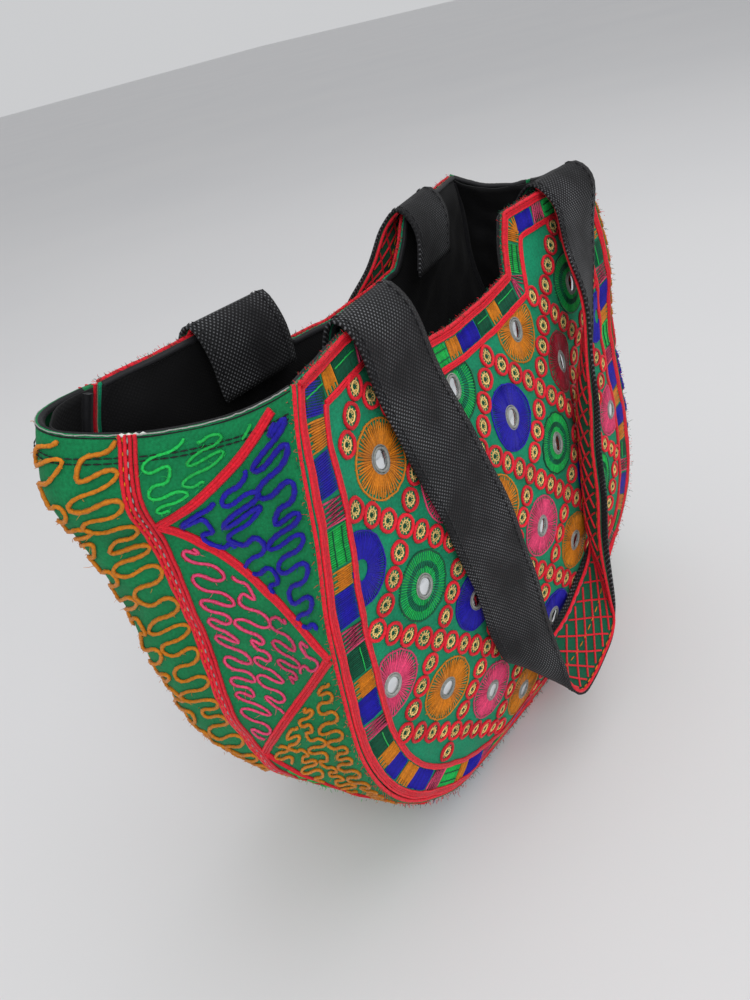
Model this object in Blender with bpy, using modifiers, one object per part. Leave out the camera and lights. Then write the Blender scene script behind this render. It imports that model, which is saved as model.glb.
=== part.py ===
"""Embroidered cloth tote bag, standing open on its curved base with both handles flopped outwards.

Metres, +Z up. X runs along the bag, the front panel faces -Y, and the origin is the middle of
the bag's box on the ground. Every cloth piece is cut as a flat pattern in two
coordinates and then bent over the bag's shape.
"""

import math

import bmesh
import bpy
import numpy as np
from mathutils import Vector
from mathutils.geometry import delaunay_2d_cdt

MM = 0.001

# The left end of the gusset swells more, so the panels stand this far right of the box's middle
PANELS_FROM_MIDDLE = 9.7 * MM

# Cloth and thread
CLOTH = 2.0 * MM
THREAD = 0.9 * MM
MIRROR_RISE = 0.7 * MM

# Front and back panels
RIM_HEIGHT = 316 * MM
NOTCH_DEPTH = 32 * MM
NOTCH_HALF_BOTTOM = 44 * MM
NOTCH_HALF_TOP = 62 * MM
NOTCH_CORNER = 3 * MM
PANEL_HALF_RIM = 143 * MM
PANEL_HALF_WIDEST = 167 * MM
PANEL_BOTTOM = 5 * MM
BACK_FLARE = 0.10
BACK_LEAN = 6.5 * MM

# Belly of the panels: share of the deepest half depth, at shares of the rim's height
BELLY_DEPTH = 71 * MM
MIDDLE_SHARES = [
    (0, 0.69), (0.11, 0.875), (0.27, 1.0), (0.443, 1.0),
    (0.60, 0.944), (0.712, 0.845), (0.823, 0.69), (1.013, 0.465),
]
END_SHARES = [
    (0, 0.676), (0.11, 0.803), (0.27, 0.90), (0.443, 0.90),
    (0.60, 0.859), (0.712, 0.817), (1.013, 0.704),
]
END_PLACE = 140 * MM
TWIST_HEIGHT = 153 * MM
TWIST_AT_RIM = 0.075
TWIST_LEAST = -0.03
DENT_DEPTH = 11 * MM
DENT_PLACE = 74 * MM
DENT_WIDTH = 17 * MM
DENT_FADE = [(0, 0.4), (0.19, 1), (0.63, 1), (0.85, 0)]

# Border of the panels
EDGE_INSET = 1.2 * MM
RED_LINE = 3.2 * MM
BRICK_BAND = 10.5 * MM

# Diamond lattice and medallions
DIAMOND = 49.5 * MM
CHAIN_WIDTH = 8.5 * MM
MEDALLION_RADIUS = 18.0 * MM
MIRROR_RADIUS = 4.8 * MM
MEDALLION_SIDES = 8
MIRROR_SIDES = 6
MIRROR_MARGIN = 12 * MM
LATTICE_TOP = 295 * MM
LATTICE_REACH = 8
PANEL_MESH = (40 * MM, 40 * MM)

# Gusset of two strips
GUSSET_WIDTH = 144 * MM
GUSSET_ROWS = 36
GUSSET_MESH = (36 * MM, 14 * MM)
GUSSET_LINE = 4.8 * MM
GUSSET_LINE_INSET = 6.0 * MM
GUSSET_LINE_PIECE = 22 * MM
GUSSET_CLEARANCE = 0.6 * MM
SEAM_GAP = 1.2 * MM
RIM_DIP = 17 * MM
RIM_DIP_LENGTH = 60 * MM
CORD_WIDTH = 3.2 * MM
CORD_SWING = 5 * MM
BACK_CORD_SWING = 9 * MM
BACK_CORD_WAVES = 16

# Outward swell of the gusset at each distance from the rim: its even part, and its part off centre
EVEN_SWELL = [(d * MM, b * MM) for d, b in [(0, 10), (75, 5), (150, 5), (215, 7), (300, 9), (411, 9)]]
NEAR_SKEW_SWELL = [(d * MM, b * MM) for d, b in [(0, 39), (75, 34), (150, 27), (215, 14), (300, 4), (411, 0)]]
FAR_SKEW_SWELL = [(d * MM, b * MM) for d, b in [(0, 16), (75, 20), (150, 19), (215, 10), (300, 2), (411, 0)]]
SKEW_PEAK = 256 / 27

# Lining
LINING = 0.8 * MM
LINING_SET_BACK = 3.4 * MM
GUSSET_LINING_SET_BACK = 4.2 * MM
LINING_MARGIN = 7.0 * MM
LINING_BELOW_RIM = 1.0 * MM
GUSSET_LINING_BELOW_RIM = 7.0 * MM
GUSSET_LINING_COLUMNS = 10
GUSSET_LINING_MESH = (40 * MM, 11 * MM)

# Handles
STRAP_WIDTH = 50 * MM
STRAP_HEM = 4.0 * MM
STRAP_BACKING = 1.4 * MM
STRAP_FACE = 0.8 * MM
STRAP_LAYER_GAP = 1.6 * MM

COLOURS = {
    "green_cloth": (0.0, 0.22, 0.10),
    "red_thread": (0.75, 0.02, 0.04),
    "blue_thread": (0.02, 0.01, 0.30),
    "gold_thread": (0.58, 0.19, 0.01),
    "pink_thread": (0.72, 0.05, 0.19),
    "bright_green_thread": (0.01, 0.50, 0.08),
    "mirror": (0.80, 0.82, 0.85),
    "black_cloth": (0.015, 0.016, 0.018),
}


def clear_scene():
    for obj in list(bpy.data.objects):
        bpy.data.objects.remove(obj, do_unlink=True)


def material(name):
    found = bpy.data.materials.get(name)
    if found:
        return found
    made = bpy.data.materials.new(name)
    made.use_nodes = True
    shader = made.node_tree.nodes["Principled BSDF"]
    shader.inputs["Base Color"].default_value = (*COLOURS[name], 1)
    shader.inputs["Roughness"].default_value = 0.08 if name == "mirror" else 0.85
    shader.inputs["Metallic"].default_value = 1.0 if name == "mirror" else 0.0
    made.diffuse_color = (*COLOURS[name], 1)
    return made


def eased(knots, at):
    """A smooth curve through the knots, level at its ends, each knot given as (place, value)."""
    places = [place for place, _ in knots]
    at = min(max(at, places[0]), places[-1])
    i = min(max(np.searchsorted(places, at) - 1, 0), len(knots) - 2)
    slopes = [0.0] * len(knots)
    for k in range(1, len(knots) - 1):
        slopes[k] = (knots[k + 1][1] - knots[k - 1][1]) / (places[k + 1] - places[k - 1])
    span = places[i + 1] - places[i]
    t = (at - places[i]) / span
    return (
        (2 * t**3 - 3 * t**2 + 1) * knots[i][1]
        + (t**3 - 2 * t**2 + t) * span * slopes[i]
        + (3 * t**2 - 2 * t**3) * knots[i + 1][1]
        + (t**3 - t**2) * span * slopes[i + 1]
    )


def twist(z):
    """How far Y moves for each step along X at this height, since the mouth is turned on its base."""
    return max(TWIST_LEAST, TWIST_AT_RIM * (z - TWIST_HEIGHT) / (RIM_HEIGHT - TWIST_HEIGHT))


def panel_depth(x, z, side):
    """Y of the outer face of the front (side -1) or back (side 1) panel."""
    share = z / RIM_HEIGHT
    middle = eased(MIDDLE_SHARES, share)
    end = eased(END_SHARES, share)
    depth = BELLY_DEPTH * (middle + (end - middle) * (x / END_PLACE) ** 2)
    dent = 0.5 * (1 + math.tanh((x - DENT_PLACE) / DENT_WIDTH))
    depth -= DENT_DEPTH * eased(DENT_FADE, share) * dent
    return side * depth + x * twist(z)


def flare(z):
    """How far up its own spread the back panel is at this height: none at mid height, all at the rim."""
    return eased([(0.63, 0), (0.95, 1)], z / RIM_HEIGHT)


def flared(x, z, side):
    """X of a place on the panel: the back panel's top spreads, more to the left than to the right."""
    if side < 0:
        return x
    return x + (BACK_FLARE * x - BACK_LEAN * (x / PANEL_HALF_RIM) ** 2) * flare(z)


def panel_point(side):
    """The map from a panel's flat pattern (x, z) and a height above its outer face to space."""

    def place(x, z, rise):
        step = 1 * MM
        slope_x = (panel_depth(x + step, z, side) - panel_depth(x - step, z, side)) / (2 * step)
        slope_z = (panel_depth(x, z + step, side) - panel_depth(x, z - step, side)) / (2 * step)
        normal = Vector((-slope_x, 1, -slope_z)).normalized() * side
        return Vector((flared(x, z, side), panel_depth(x, z, side), z)) + normal * rise

    return place


def right_seam():
    """The seam line from the rim down to the middle of the base, as half widths at each height."""
    shape = [(316, 143), (294, 150), (256, 156), (218, 163), (179, 166), (140, 167), (112, 163), (88, 155)]
    shape += [(66, 142), (44, 120), (27, 97), (15, 71), (8, 40), (5, 0)]
    wide = PANEL_HALF_WIDEST / (167 * MM)
    tall = (RIM_HEIGHT - PANEL_BOTTOM) / (311 * MM)
    return [(x * wide * MM, PANEL_BOTTOM + (z - 5) * tall * MM) for z, x in shape]


def panel_outline():
    """Closed outline of a panel, clockwise from the right end of the rim, without the last point twice."""
    right = right_seam()
    left = [(-x, z) for x, z in reversed(right[:-1])]
    notch_floor = RIM_HEIGHT - NOTCH_DEPTH
    shoulder = (PANEL_HALF_RIM + NOTCH_HALF_TOP) / 2
    rim = [
        (-shoulder, RIM_HEIGHT),
        (-NOTCH_HALF_TOP, RIM_HEIGHT),
        (-NOTCH_HALF_BOTTOM - NOTCH_CORNER, notch_floor + NOTCH_CORNER),
        (-NOTCH_HALF_BOTTOM / 2.5, notch_floor),
    ]
    return right + left + rim + [(-x, z) for x, z in reversed(rim)]


def inset(outline, amount):
    """The outline moved inwards, with mitred corners."""
    points = [np.array(p) for p in outline]
    count = len(points)
    moved = []
    for i, point in enumerate(points):
        before = point - points[i - 1]
        after = points[(i + 1) % count] - point
        before = before / np.linalg.norm(before)
        after = after / np.linalg.norm(after)
        inward_1 = np.array([before[1], -before[0]])
        inward_2 = np.array([after[1], -after[0]])
        moved.append(point + (inward_1 + inward_2) * amount / (1 + inward_1 @ inward_2))
    return moved


def inside(point, outline):
    hit = False
    for i, (x1, z1) in enumerate(outline):
        x0, z0 = outline[i - 1]
        if (z0 > point[1]) != (z1 > point[1]) and point[0] < (x1 - x0) * (point[1] - z0) / (z1 - z0) + x0:
            hit = not hit
    return hit


def ring_fields(outline, near, far, names):
    """One field for each stretch of the band between two insets of the outline."""
    outer = inset(outline, near)
    inner = inset(outline, far)
    count = len(outer)
    fields = []
    for i in range(count):
        j = (i + 1) % count
        fields.append(([outer[i], outer[j], inner[j], inner[i]], names[i % len(names)], 1))
    return fields


def pulled_in(points, pole, outline):
    """Each point moved towards the pole until it lies inside the outline."""
    pole = np.array(pole)
    moved = []
    for point in points:
        share = 1.0
        while share > 0 and not inside(pole + (point - pole) * share, outline):
            share -= 0.05
        moved.append(pole + (point - pole) * share)
    return moved


def disc(centre, radius, sides):
    turn = 2 * math.pi / sides
    turns = [k * turn for k in range(sides)]
    return [np.array(centre) + radius * np.array([math.cos(t), math.sin(t)]) for t in turns]


def medallion_colour(row, column):
    if row % 2 == 0:
        return "blue_thread" if column % 2 else "bright_green_thread"
    return "gold_thread" if column % 2 else "pink_thread"


def lattice_fields(outline):
    """The chains of the diamond lattice and the mirrored medallion in the middle of each diamond."""
    half = DIAMOND / math.sqrt(2)
    kept = inset(outline, EDGE_INSET + 2 * RED_LINE)
    middle = np.array([0.0, RIM_HEIGHT / 2])
    chains = []
    discs = []
    for row in range(-LATTICE_REACH, LATTICE_REACH):
        for column in range(-LATTICE_REACH, LATTICE_REACH):
            node = np.array([(column - row - 1) * half, LATTICE_TOP - (row + column) * half])
            for way in (1, -1):
                end = node + np.array([way * half, -half])
                chain = clipped(node, end, kept)
                if chain:
                    across = np.array([1, way]) / math.sqrt(2) * CHAIN_WIDTH / 2
                    a, b = chain
                    chains.append(([a - across, b - across, b + across, a + across], "red_thread", 1))
            centre = node - np.array([0, half])
            away = max(np.linalg.norm(middle - centre), MM)
            pole = centre + (middle - centre) * min(1, 0.7 * MEDALLION_RADIUS / away)
            if not inside(pole, kept):
                continue
            round_edge = pulled_in(disc(centre, MEDALLION_RADIUS, MEDALLION_SIDES), pole, kept)
            discs.append((round_edge, medallion_colour(row, column), 1))
            if all(inside(p, kept) for p in disc(centre, MIRROR_MARGIN, MIRROR_SIDES)):
                discs.append((disc(centre, MIRROR_RADIUS, MIRROR_SIDES), "mirror", 2))
    return chains + discs


def clipped(start, end, outline):
    """The part of a line that lies inside the outline, or None where too little does."""
    shares = [k / 20 for k in range(21)]
    within = [s for s in shares if inside(start + (end - start) * s, outline)]
    if len(within) < 5:
        return None
    return start + (end - start) * within[0], start + (end - start) * within[-1]


def border_fields(outline):
    brick_colours = ["blue_thread", "pink_thread", "bright_green_thread", "gold_thread"]
    first = EDGE_INSET + RED_LINE
    second = first + BRICK_BAND
    return (
        ring_fields(outline, EDGE_INSET, first, ["red_thread"])
        + ring_fields(outline, first, second, brick_colours)
        + ring_fields(outline, second, second + RED_LINE, ["red_thread"])
    )


def grid_inside(outline, spacing):
    """Points inside the outline on a grid with one spacing each way."""
    points = np.array(outline)
    low = points.min(axis=0)
    high = points.max(axis=0)
    kept = inset(outline, min(spacing) / 3)
    found = []
    for x in np.arange(low[0] + spacing[0] / 2, high[0], spacing[0]):
        for z in np.arange(low[1] + spacing[1] / 2, high[1], spacing[1]):
            if inside((x, z), kept):
                found.append(np.array([x, z]))
    return found


def anticlockwise(corners):
    """The corners in the order that the triangulation counts as the inside."""
    area = sum(a[0] * b[1] - b[0] * a[1] for a, b in zip(corners, [*corners[1:], corners[0]]))
    return list(corners) if area > 0 else list(reversed(corners))


def triangulated(outline, fields, loose):
    """Flat triangles inside the outline, and for each the last field that holds it, or -1."""
    points = []
    faces = []
    for corners in [outline, *(field[0] for field in fields)]:
        faces.append(list(range(len(points), len(points) + len(corners))))
        points += [Vector(p) for p in anticlockwise(corners)]
    points += [Vector(p) for p in loose]
    made = delaunay_2d_cdt(points, [], faces, 1, 1e-5, True)
    verts, triangles, owners = made[0], made[2], made[5]
    tops = [max(owner) - 1 if owner else -1 for owner in owners]
    keep = [k for k, owner in enumerate(owners) if 0 in owner]
    return verts, [list(triangles[k]) for k in keep], [tops[k] for k in keep]


def without_pinches(triangles, levels):
    """The levels, raised where two raised places would meet in a single point."""
    levels = list(levels)
    around = {}
    for k, triangle in enumerate(triangles):
        for i in triangle:
            around.setdefault(i, []).append(k)
    for level in (2, 1):
        changed = True
        while changed:
            changed = False
            for i, owners in around.items():
                ends = {}
                for k in owners:
                    for j in triangles[k]:
                        ends.setdefault(j, []).append(levels[k] >= level)
                steps = sum(len(pair) == 2 and pair[0] != pair[1] for j, pair in ends.items() if j != i)
                if steps > 2:
                    for k in owners:
                        levels[k] = max(levels[k], level)
                    changed = True
    return levels


def embroidered_sheet(name, place, outline, fields, thickness, base, spacing):
    """A closed cloth piece: fields stand out from its outer face, and its inner face is plain."""
    flat, triangles, tops = triangulated(outline, fields, grid_inside(outline, spacing))
    rises = {0: 0.0, 1: THREAD, 2: THREAD + MIRROR_RISE}
    mesh = bmesh.new()
    slots = [base]
    made = {}

    def corner(i, level):
        if (i, level) not in made:
            made[i, level] = mesh.verts.new(place(flat[i][0], flat[i][1], rises[level]))
        return made[i, level]

    def slot(colour):
        if colour not in slots:
            slots.append(colour)
        return slots.index(colour)

    levels = without_pinches(triangles, [fields[top][2] if top >= 0 else 0 for top in tops])
    sides = {}
    for triangle, top, level in zip(triangles, tops, levels):
        face = mesh.faces.new([corner(i, level) for i in triangle])
        face.material_index = slot(fields[top][1] if top >= 0 else base)
        for k in range(3):
            sides[triangle[k], triangle[(k + 1) % 3]] = (level, face.material_index)
    rim = {}
    for (a, b), (level, index) in sides.items():
        if (b, a) not in sides:
            rim[a] = b
            continue
        other = sides[b, a][0]
        for step in range(other, level):
            wall = [corner(b, step + 1), corner(a, step + 1), corner(a, step), corner(b, step)]
            mesh.faces.new(wall).material_index = index
    close_back(mesh, made, rim, flat, place, thickness, outline, spacing)
    return finished(name, mesh, slots)


def close_back(mesh, made, rim, flat, place, thickness, outline, spacing):
    """The plain inner face on the same edge points, joined to the outer face by the cut edge."""
    start = next(iter(rim))
    loop = [start]
    while rim[loop[-1]] != start:
        loop.append(rim[loop[-1]])
    edge = [Vector(flat[i]) for i in loop]
    if anticlockwise(edge)[0] != edge[0]:
        loop.reverse()
        edge.reverse()
    loose = [Vector(p) for p in grid_inside(outline, spacing)]
    back = delaunay_2d_cdt(edge + loose, [], [list(range(len(edge)))], 1, 1e-6, True)
    verts = [mesh.verts.new(place(p[0], p[1], -thickness)) for p in back[0]]
    source = {old[0]: k for k, old in enumerate(back[3]) if old}
    for triangle, owner in zip(back[2], back[5]):
        if owner:
            mesh.faces.new([verts[k] for k in reversed(triangle)])
    for k, a in enumerate(loop):
        b = loop[(k + 1) % len(loop)]
        low_a = verts[source[k]]
        low_b = verts[source[(k + 1) % len(loop)]]
        mesh.faces.new([made[b, 0], made[a, 0], low_a, low_b])


def finished(name, mesh, slots):
    bmesh.ops.recalc_face_normals(mesh, faces=mesh.faces)
    bmesh.ops.translate(mesh, verts=mesh.verts, vec=(PANELS_FROM_MIDDLE, 0, 0))
    data = bpy.data.meshes.new(name)
    mesh.to_mesh(data)
    mesh.free()
    for colour in slots:
        data.materials.append(material(colour))
    obj = bpy.data.objects.new(name, data)
    bag.objects.link(obj)
    return obj


def make_panel(name, side):
    outline = panel_outline()
    fields = lattice_fields(outline) + border_fields(outline)
    return embroidered_sheet(name, panel_point(side), outline, fields, CLOTH, "green_cloth", PANEL_MESH)


def seam_path():
    """The seam line from the left end of the rim under the base to the right end, with its distances."""
    right = [np.array(p) for p in right_seam()]
    path = [p * (-1, 1) for p in right] + right[-2::-1]
    lengths = [0.0]
    for a, b in zip(path, path[1:]):
        lengths.append(lengths[-1] + float(np.linalg.norm(b - a)))
    return path, lengths


SEAM, SEAM_LENGTHS = seam_path()
SEAM_LENGTH = SEAM_LENGTHS[-1]


def along_seam(distance):
    """The point of the seam line at a distance from the left end of the rim."""
    return np.array([np.interp(distance, SEAM_LENGTHS, [p[k] for p in SEAM]) for k in (0, 1)])


def seam_point(distance):
    """A point of the seam line and its outward direction in the panel's plane."""
    step = 6 * MM
    run = along_seam(min(distance + step, SEAM_LENGTH)) - along_seam(max(distance - step, 0))
    run = run / np.linalg.norm(run)
    return along_seam(distance), (run[1], -run[0])


def gusset_middle(distance, across):
    """The gusset's outer face at a distance along the seam and a share of the way from front to back."""
    (x, z), (out_x, out_z) = seam_point(distance)
    front = Vector((x, panel_depth(x, z, -1), z))
    back = Vector((flared(x, z, 1), panel_depth(x, z, 1), z))
    from_rim = min(distance, SEAM_LENGTH - distance)
    near = distance < SEAM_LENGTH / 2
    lean = across if near else 1 - across
    bow = 4 * across * (1 - across)
    skew_swell = eased(NEAR_SKEW_SWELL if near else FAR_SKEW_SWELL, from_rim)
    swell = eased(EVEN_SWELL, from_rim) * bow + skew_swell * SKEW_PEAK * lean**3 * (1 - lean)
    point = front.lerp(back, across)
    point.x += out_x * (swell + CLOTH + SEAM_GAP)
    point.z += out_z * (swell + CLOTH + SEAM_GAP)
    point.z -= RIM_DIP * bow * eased([(0, 1), (RIM_DIP_LENGTH, 0)], from_rim)
    return point


def gusset_point(along, over, rise):
    """The map from the gusset's flat pattern (distance along, distance across) to space."""
    step = 0.5 * MM
    across = over / GUSSET_WIDTH
    side_step = step / GUSSET_WIDTH
    run = gusset_middle(along + step, across) - gusset_middle(along - step, across)
    width = gusset_middle(along, across + side_step) - gusset_middle(along, across - side_step)
    point = gusset_middle(along, across) + width.cross(run).normalized() * rise
    point.z = max(point.z, -min(rise, 0.0))
    return point


def line_field(start, end, width, colour):
    """A straight band of thread as short fields, so that it bends with the cloth."""
    start = np.array(start)
    end = np.array(end)
    run = (end - start) / np.linalg.norm(end - start)
    side = np.array([-run[1], run[0]]) * width / 2
    pieces = max(2, round(np.linalg.norm(end - start) / GUSSET_LINE_PIECE))
    fields = []
    for k in range(pieces):
        a = start + (end - start) * k / pieces
        b = start + (end - start) * (k + 1) / pieces
        fields.append(([a - side, b - side, b + side, a + side], colour, 1))
    return fields


def squiggle(start, end, swing, waves, colour):
    """A meandering line of couched cord between two places of the flat pattern."""
    start = np.array(start)
    end = np.array(end)
    run = (end - start) / np.linalg.norm(end - start)
    side = np.array([-run[1], run[0]])
    steps = 2 * waves
    path = [start + (end - start) * k / steps + side * swing * (-1) ** k for k in range(steps + 1)]
    fields = []
    for a, b in zip(path, path[1:]):
        ahead = (b - a) / np.linalg.norm(b - a)
        off = np.array([-ahead[1], ahead[0]]) * CORD_WIDTH / 2
        fields.append(([a - off, b - off, b + off, a + off], colour, 1))
    return fields


# Turns of the red zigzag: distance from the rim, and the side of the strip (0 front, 1 middle of the gusset)
ZIGZAG = [(50, 1), (122, 0), (200, 1), (273, 0), (346, 1), (411, 0)]
FIRST_TURN = 0.14


def front_strip_fields(low, high):
    """Red zigzag lines on the front strip, with a squiggle of another colour in each triangle."""
    turns = [(GUSSET_LINE, FIRST_TURN)] + [(d * MM, side) for d, side in ZIGZAG]
    turns += [(SEAM_LENGTH - d, side) for d, side in reversed(turns[:-1])]
    span = high - low
    line_low = low + GUSSET_LINE_INSET
    line_span = span - 2 * GUSSET_LINE_INSET
    fields = []
    for (d0, side0), (d1, side1) in zip(turns, turns[1:]):
        start = (d0, line_low + line_span * side0)
        fields += line_field(start, (d1, line_low + line_span * side1), GUSSET_LINE, "red_thread")
    colours = ["bright_green_thread", "blue_thread", "pink_thread", "gold_thread"]
    for k in range(1, len(turns) - 1):
        place, side = turns[k]
        colour = colours[k % len(colours)]
        reach = (turns[k + 1][0] - turns[k - 1][0]) / 4
        for share, length, waves in ((0.27, 1.0, 3), (0.52, 0.45, 2)):
            level = high - span * share if side == 0 else low + span * share
            half = reach * length
            fields += squiggle((place - half, level), (place + half, level), CORD_SWING, waves, colour)
    return fields


def back_strip_fields(low, high):
    """Two rows of gold squiggles along the whole back strip."""
    margin = 2 * BACK_CORD_SWING
    fields = []
    for share in (0.3, 0.72):
        level = low + (high - low) * share
        ends = ((margin, level), (SEAM_LENGTH - margin, level))
        fields += squiggle(*ends, BACK_CORD_SWING, BACK_CORD_WAVES, "gold_thread")
    return fields


def make_strip(name, low, high, fields):
    """One strip of the gusset, between two distances across the gusset's pattern."""
    steps = GUSSET_ROWS
    near = [(SEAM_LENGTH * k / steps, low) for k in range(steps + 1)]
    far = [(SEAM_LENGTH * k / steps, high) for k in range(steps, -1, -1)]
    middle = (low + high) / 2
    outline = near + [(SEAM_LENGTH, middle)] + far + [(0.0, middle)]
    outline.reverse()
    return embroidered_sheet(name, gusset_point, outline, fields, CLOTH, "green_cloth", GUSSET_MESH)


def open_sheet(name, place, outline, rise, thickness, colour, spacing):
    """A plain sheet bent over the bag's shape, thickened by Solidify."""
    points = [Vector(p) for p in anticlockwise(outline)] + [Vector(p) for p in grid_inside(outline, spacing)]
    made = delaunay_2d_cdt(points, [], [list(range(len(outline)))], 1, 1e-6, True)
    mesh = bmesh.new()
    verts = [mesh.verts.new(place(p[0], p[1], rise)) for p in made[0]]
    for triangle, owner in zip(made[2], made[5]):
        if owner:
            mesh.faces.new([verts[k] for k in triangle])
    obj = finished(name, mesh, [colour])
    solidify = obj.modifiers.new("thickness", "SOLIDIFY")
    solidify.thickness = thickness
    solidify.offset = 0
    return obj


def make_lining():
    """Three lining pieces, each a little inside the cloth that it backs."""
    depth = -(CLOTH + LINING_SET_BACK)
    inner = inset(panel_outline(), LINING_MARGIN)
    rim_zone = RIM_HEIGHT - NOTCH_DEPTH - 2 * LINING_MARGIN
    raise_by = LINING_MARGIN - LINING_BELOW_RIM
    cut = [(x, z + raise_by if z > rim_zone else z) for x, z in inner]
    for name, side in (("front_lining", -1), ("back_lining", 1)):
        open_sheet(name, panel_point(side), cut, depth, LINING, "black_cloth", PANEL_MESH)
    low = LINING_MARGIN + SEAM_GAP
    high = GUSSET_WIDTH - low
    first = GUSSET_LINING_BELOW_RIM
    rows = [first + (SEAM_LENGTH - 2 * first) * k / GUSSET_ROWS for k in range(GUSSET_ROWS + 1)]
    columns = [low + (high - low) * k / GUSSET_LINING_COLUMNS for k in range(GUSSET_LINING_COLUMNS + 1)]
    outline = [(row, low) for row in rows] + [(rows[-1], column) for column in columns[1:-1]]
    outline += [(row, high) for row in reversed(rows)]
    outline += [(first, column) for column in reversed(columns[1:-1])]
    outline.reverse()
    depth = -(CLOTH + GUSSET_LINING_SET_BACK)
    open_sheet("gusset_lining", gusset_point, outline, depth, LINING, "black_cloth", GUSSET_LINING_MESH)


# The two long edges of the front handle in millimetres, from its left end inside the rim, over the rim,
# down outside the panel, round the turn near the floor and back up to its right end
INNER_EDGE = [
    (-101, -34, 284), (-101, -36, 306), (-101, -45, 320.8), (-101, -56, 311), (-99, -59, 285),
    (-94, -62, 257), (-84, -69.5, 207), (-75, -74, 156), (-71, -75, 126), (-62, -75.5, 104),
    (-38, -76, 90), (-8, -76, 87),
    (16, -76, 94), (40, -75.5, 106), (60, -74, 122), (68, -71.5, 136), (74, -68.5, 168), (82, -66, 200),
    (93, -63, 228), (112, -57, 252), (132, -50, 283), (140, -49, 311), (141, -35.5, 320.8), (141, -24, 306),
    (141, -23, 284),
]
OUTER_EDGE = [
    (-53, -26, 284), (-53, -27, 306), (-53, -36, 320.8), (-52, -47, 311), (-50, -53, 286), (-43, -57, 259),
    (-34, -69.5, 205), (-27, -77, 150), (-27, -82, 117), (-30, -92, 80), (-23, -97, 49), (-5, -98, 44),
    (15, -98, 50), (31, -97, 62), (31, -96, 95), (34, -94, 130), (38, -92, 167), (47, -87, 196),
    (56, -82, 224), (72, -71, 262), (89, -53, 290), (95, -44, 311), (96, -30.5, 320.8), (96, -19, 306),
    (96, -18, 284),
]
# How much the strap curls across, at shares of its length: positive towards its backing
CURL = [(0.27, 0), (0.36, 0.3), (0.45, 0), (0.54, -0.1), (0.6, -0.7), (0.73, -0.7), (0.8, 0)]
# How far the back handle's runs stand to the left of the front's, at shares of the rim's height
BACK_RIGHT_LEAN = [(h, d * MM) for h, d in [(0.47, 0), (0.63, 18), (0.83, 42), (0.9, 48), (1.015, 38)]]
BACK_LEFT_LEAN = [(h, d * MM) for h, d in [(0.47, 0), (0.83, 14), (1.015, 16)]]


def through(points, share):
    """A smooth curve through the points, at a share of the way along."""
    place = min(max(share, 0), 1) * (len(points) - 1)
    i = min(int(place), len(points) - 2)
    t = place - i
    p0 = points[max(i - 1, 0)]
    p1 = points[i]
    p2 = points[i + 1]
    p3 = points[min(i + 2, len(points) - 1)]
    return 0.5 * (
        2 * p1 + (p2 - p0) * t + (2 * p0 - 5 * p1 + 4 * p2 - p3) * t * t + (3 * p1 - p0 - 3 * p2 + p3) * t**3
    )


def behind(p):
    """The place on the back handle that answers to a place on the front one: as far off its own panel."""
    height = p.z / RIM_HEIGHT
    right = eased([(0, 0), (STRAP_WIDTH, 1)], p.x)
    x = p.x - eased(BACK_RIGHT_LEAN, height) * right - eased(BACK_LEFT_LEAN, height) * (1 - right)
    off = panel_depth(p.x, p.z, -1) - p.y
    on_panel = x
    for _ in range(3):
        on_panel += x - flared(on_panel, p.z, 1)
    return Vector((x, panel_depth(on_panel, p.z, 1) + off, p.z))


def strap_rows(width, rise):
    """Rows of three points across the front handle's strap, at a height above its middle surface."""
    inner = [Vector(p) * MM for p in INNER_EDGE]
    outer = [Vector(p) * MM for p in OUTER_EDGE]
    steps = 2 * (len(inner) - 1)
    step = 0.01
    rows = []
    for k in range(steps + 1):
        share = k / steps
        a = through(inner, share)
        b = through(outer, share)
        ahead = through(inner, share + step) + through(outer, share + step)
        before = through(inner, share - step) + through(outer, share - step)
        wide = (b - a).normalized()
        normal = (ahead - before).cross(wide).normalized()
        chord = min((b - a).length, STRAP_WIDTH)
        curl = eased(CURL, share) * math.sqrt(3 * chord * (STRAP_WIDTH - chord) / 8)
        middle = (a + b) / 2
        part = width / STRAP_WIDTH
        half = wide * part * chord / 2
        edge = normal * (rise + curl * (1 - part))
        rows.append([middle - half + edge, middle + normal * (rise + curl), middle + half + edge])
    return rows


def make_handle(name, place):
    """A strap of two bonded layers: a black backing with a green face a little narrower than it."""
    layers = (
        ("backing", "black_cloth", STRAP_WIDTH, STRAP_BACKING, STRAP_BACKING / 2),
        ("face", "green_cloth", STRAP_WIDTH - 2 * STRAP_HEM, STRAP_FACE, -STRAP_FACE / 2 - STRAP_LAYER_GAP),
    )
    for layer, colour, width, thickness, rise in layers:
        mesh = bmesh.new()
        rows = [[mesh.verts.new(place(p)) for p in row] for row in strap_rows(width, rise)]
        for low, high in zip(rows, rows[1:]):
            for k in (0, 1):
                mesh.faces.new([low[k], high[k], high[k + 1], low[k + 1]])
        obj = finished(f"{name}_{layer}", mesh, [colour])
        solidify = obj.modifiers.new("thickness", "SOLIDIFY")
        solidify.thickness = thickness
        solidify.offset = 0


clear_scene()
bag = bpy.data.collections.new("tote_bag")
bpy.context.scene.collection.children.link(bag)

make_panel("front_panel", -1)
make_panel("back_panel", 1)
strip = GUSSET_WIDTH / 2 - GUSSET_CLEARANCE
make_strip("front_gusset_strip", 0.0, strip, front_strip_fields(0.0, strip))
second = GUSSET_WIDTH / 2 + GUSSET_CLEARANCE
make_strip("back_gusset_strip", second, GUSSET_WIDTH, back_strip_fields(second, GUSSET_WIDTH))
make_lining()
make_handle("front_handle", lambda p: p)
make_handle("back_handle", behind)
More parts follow.
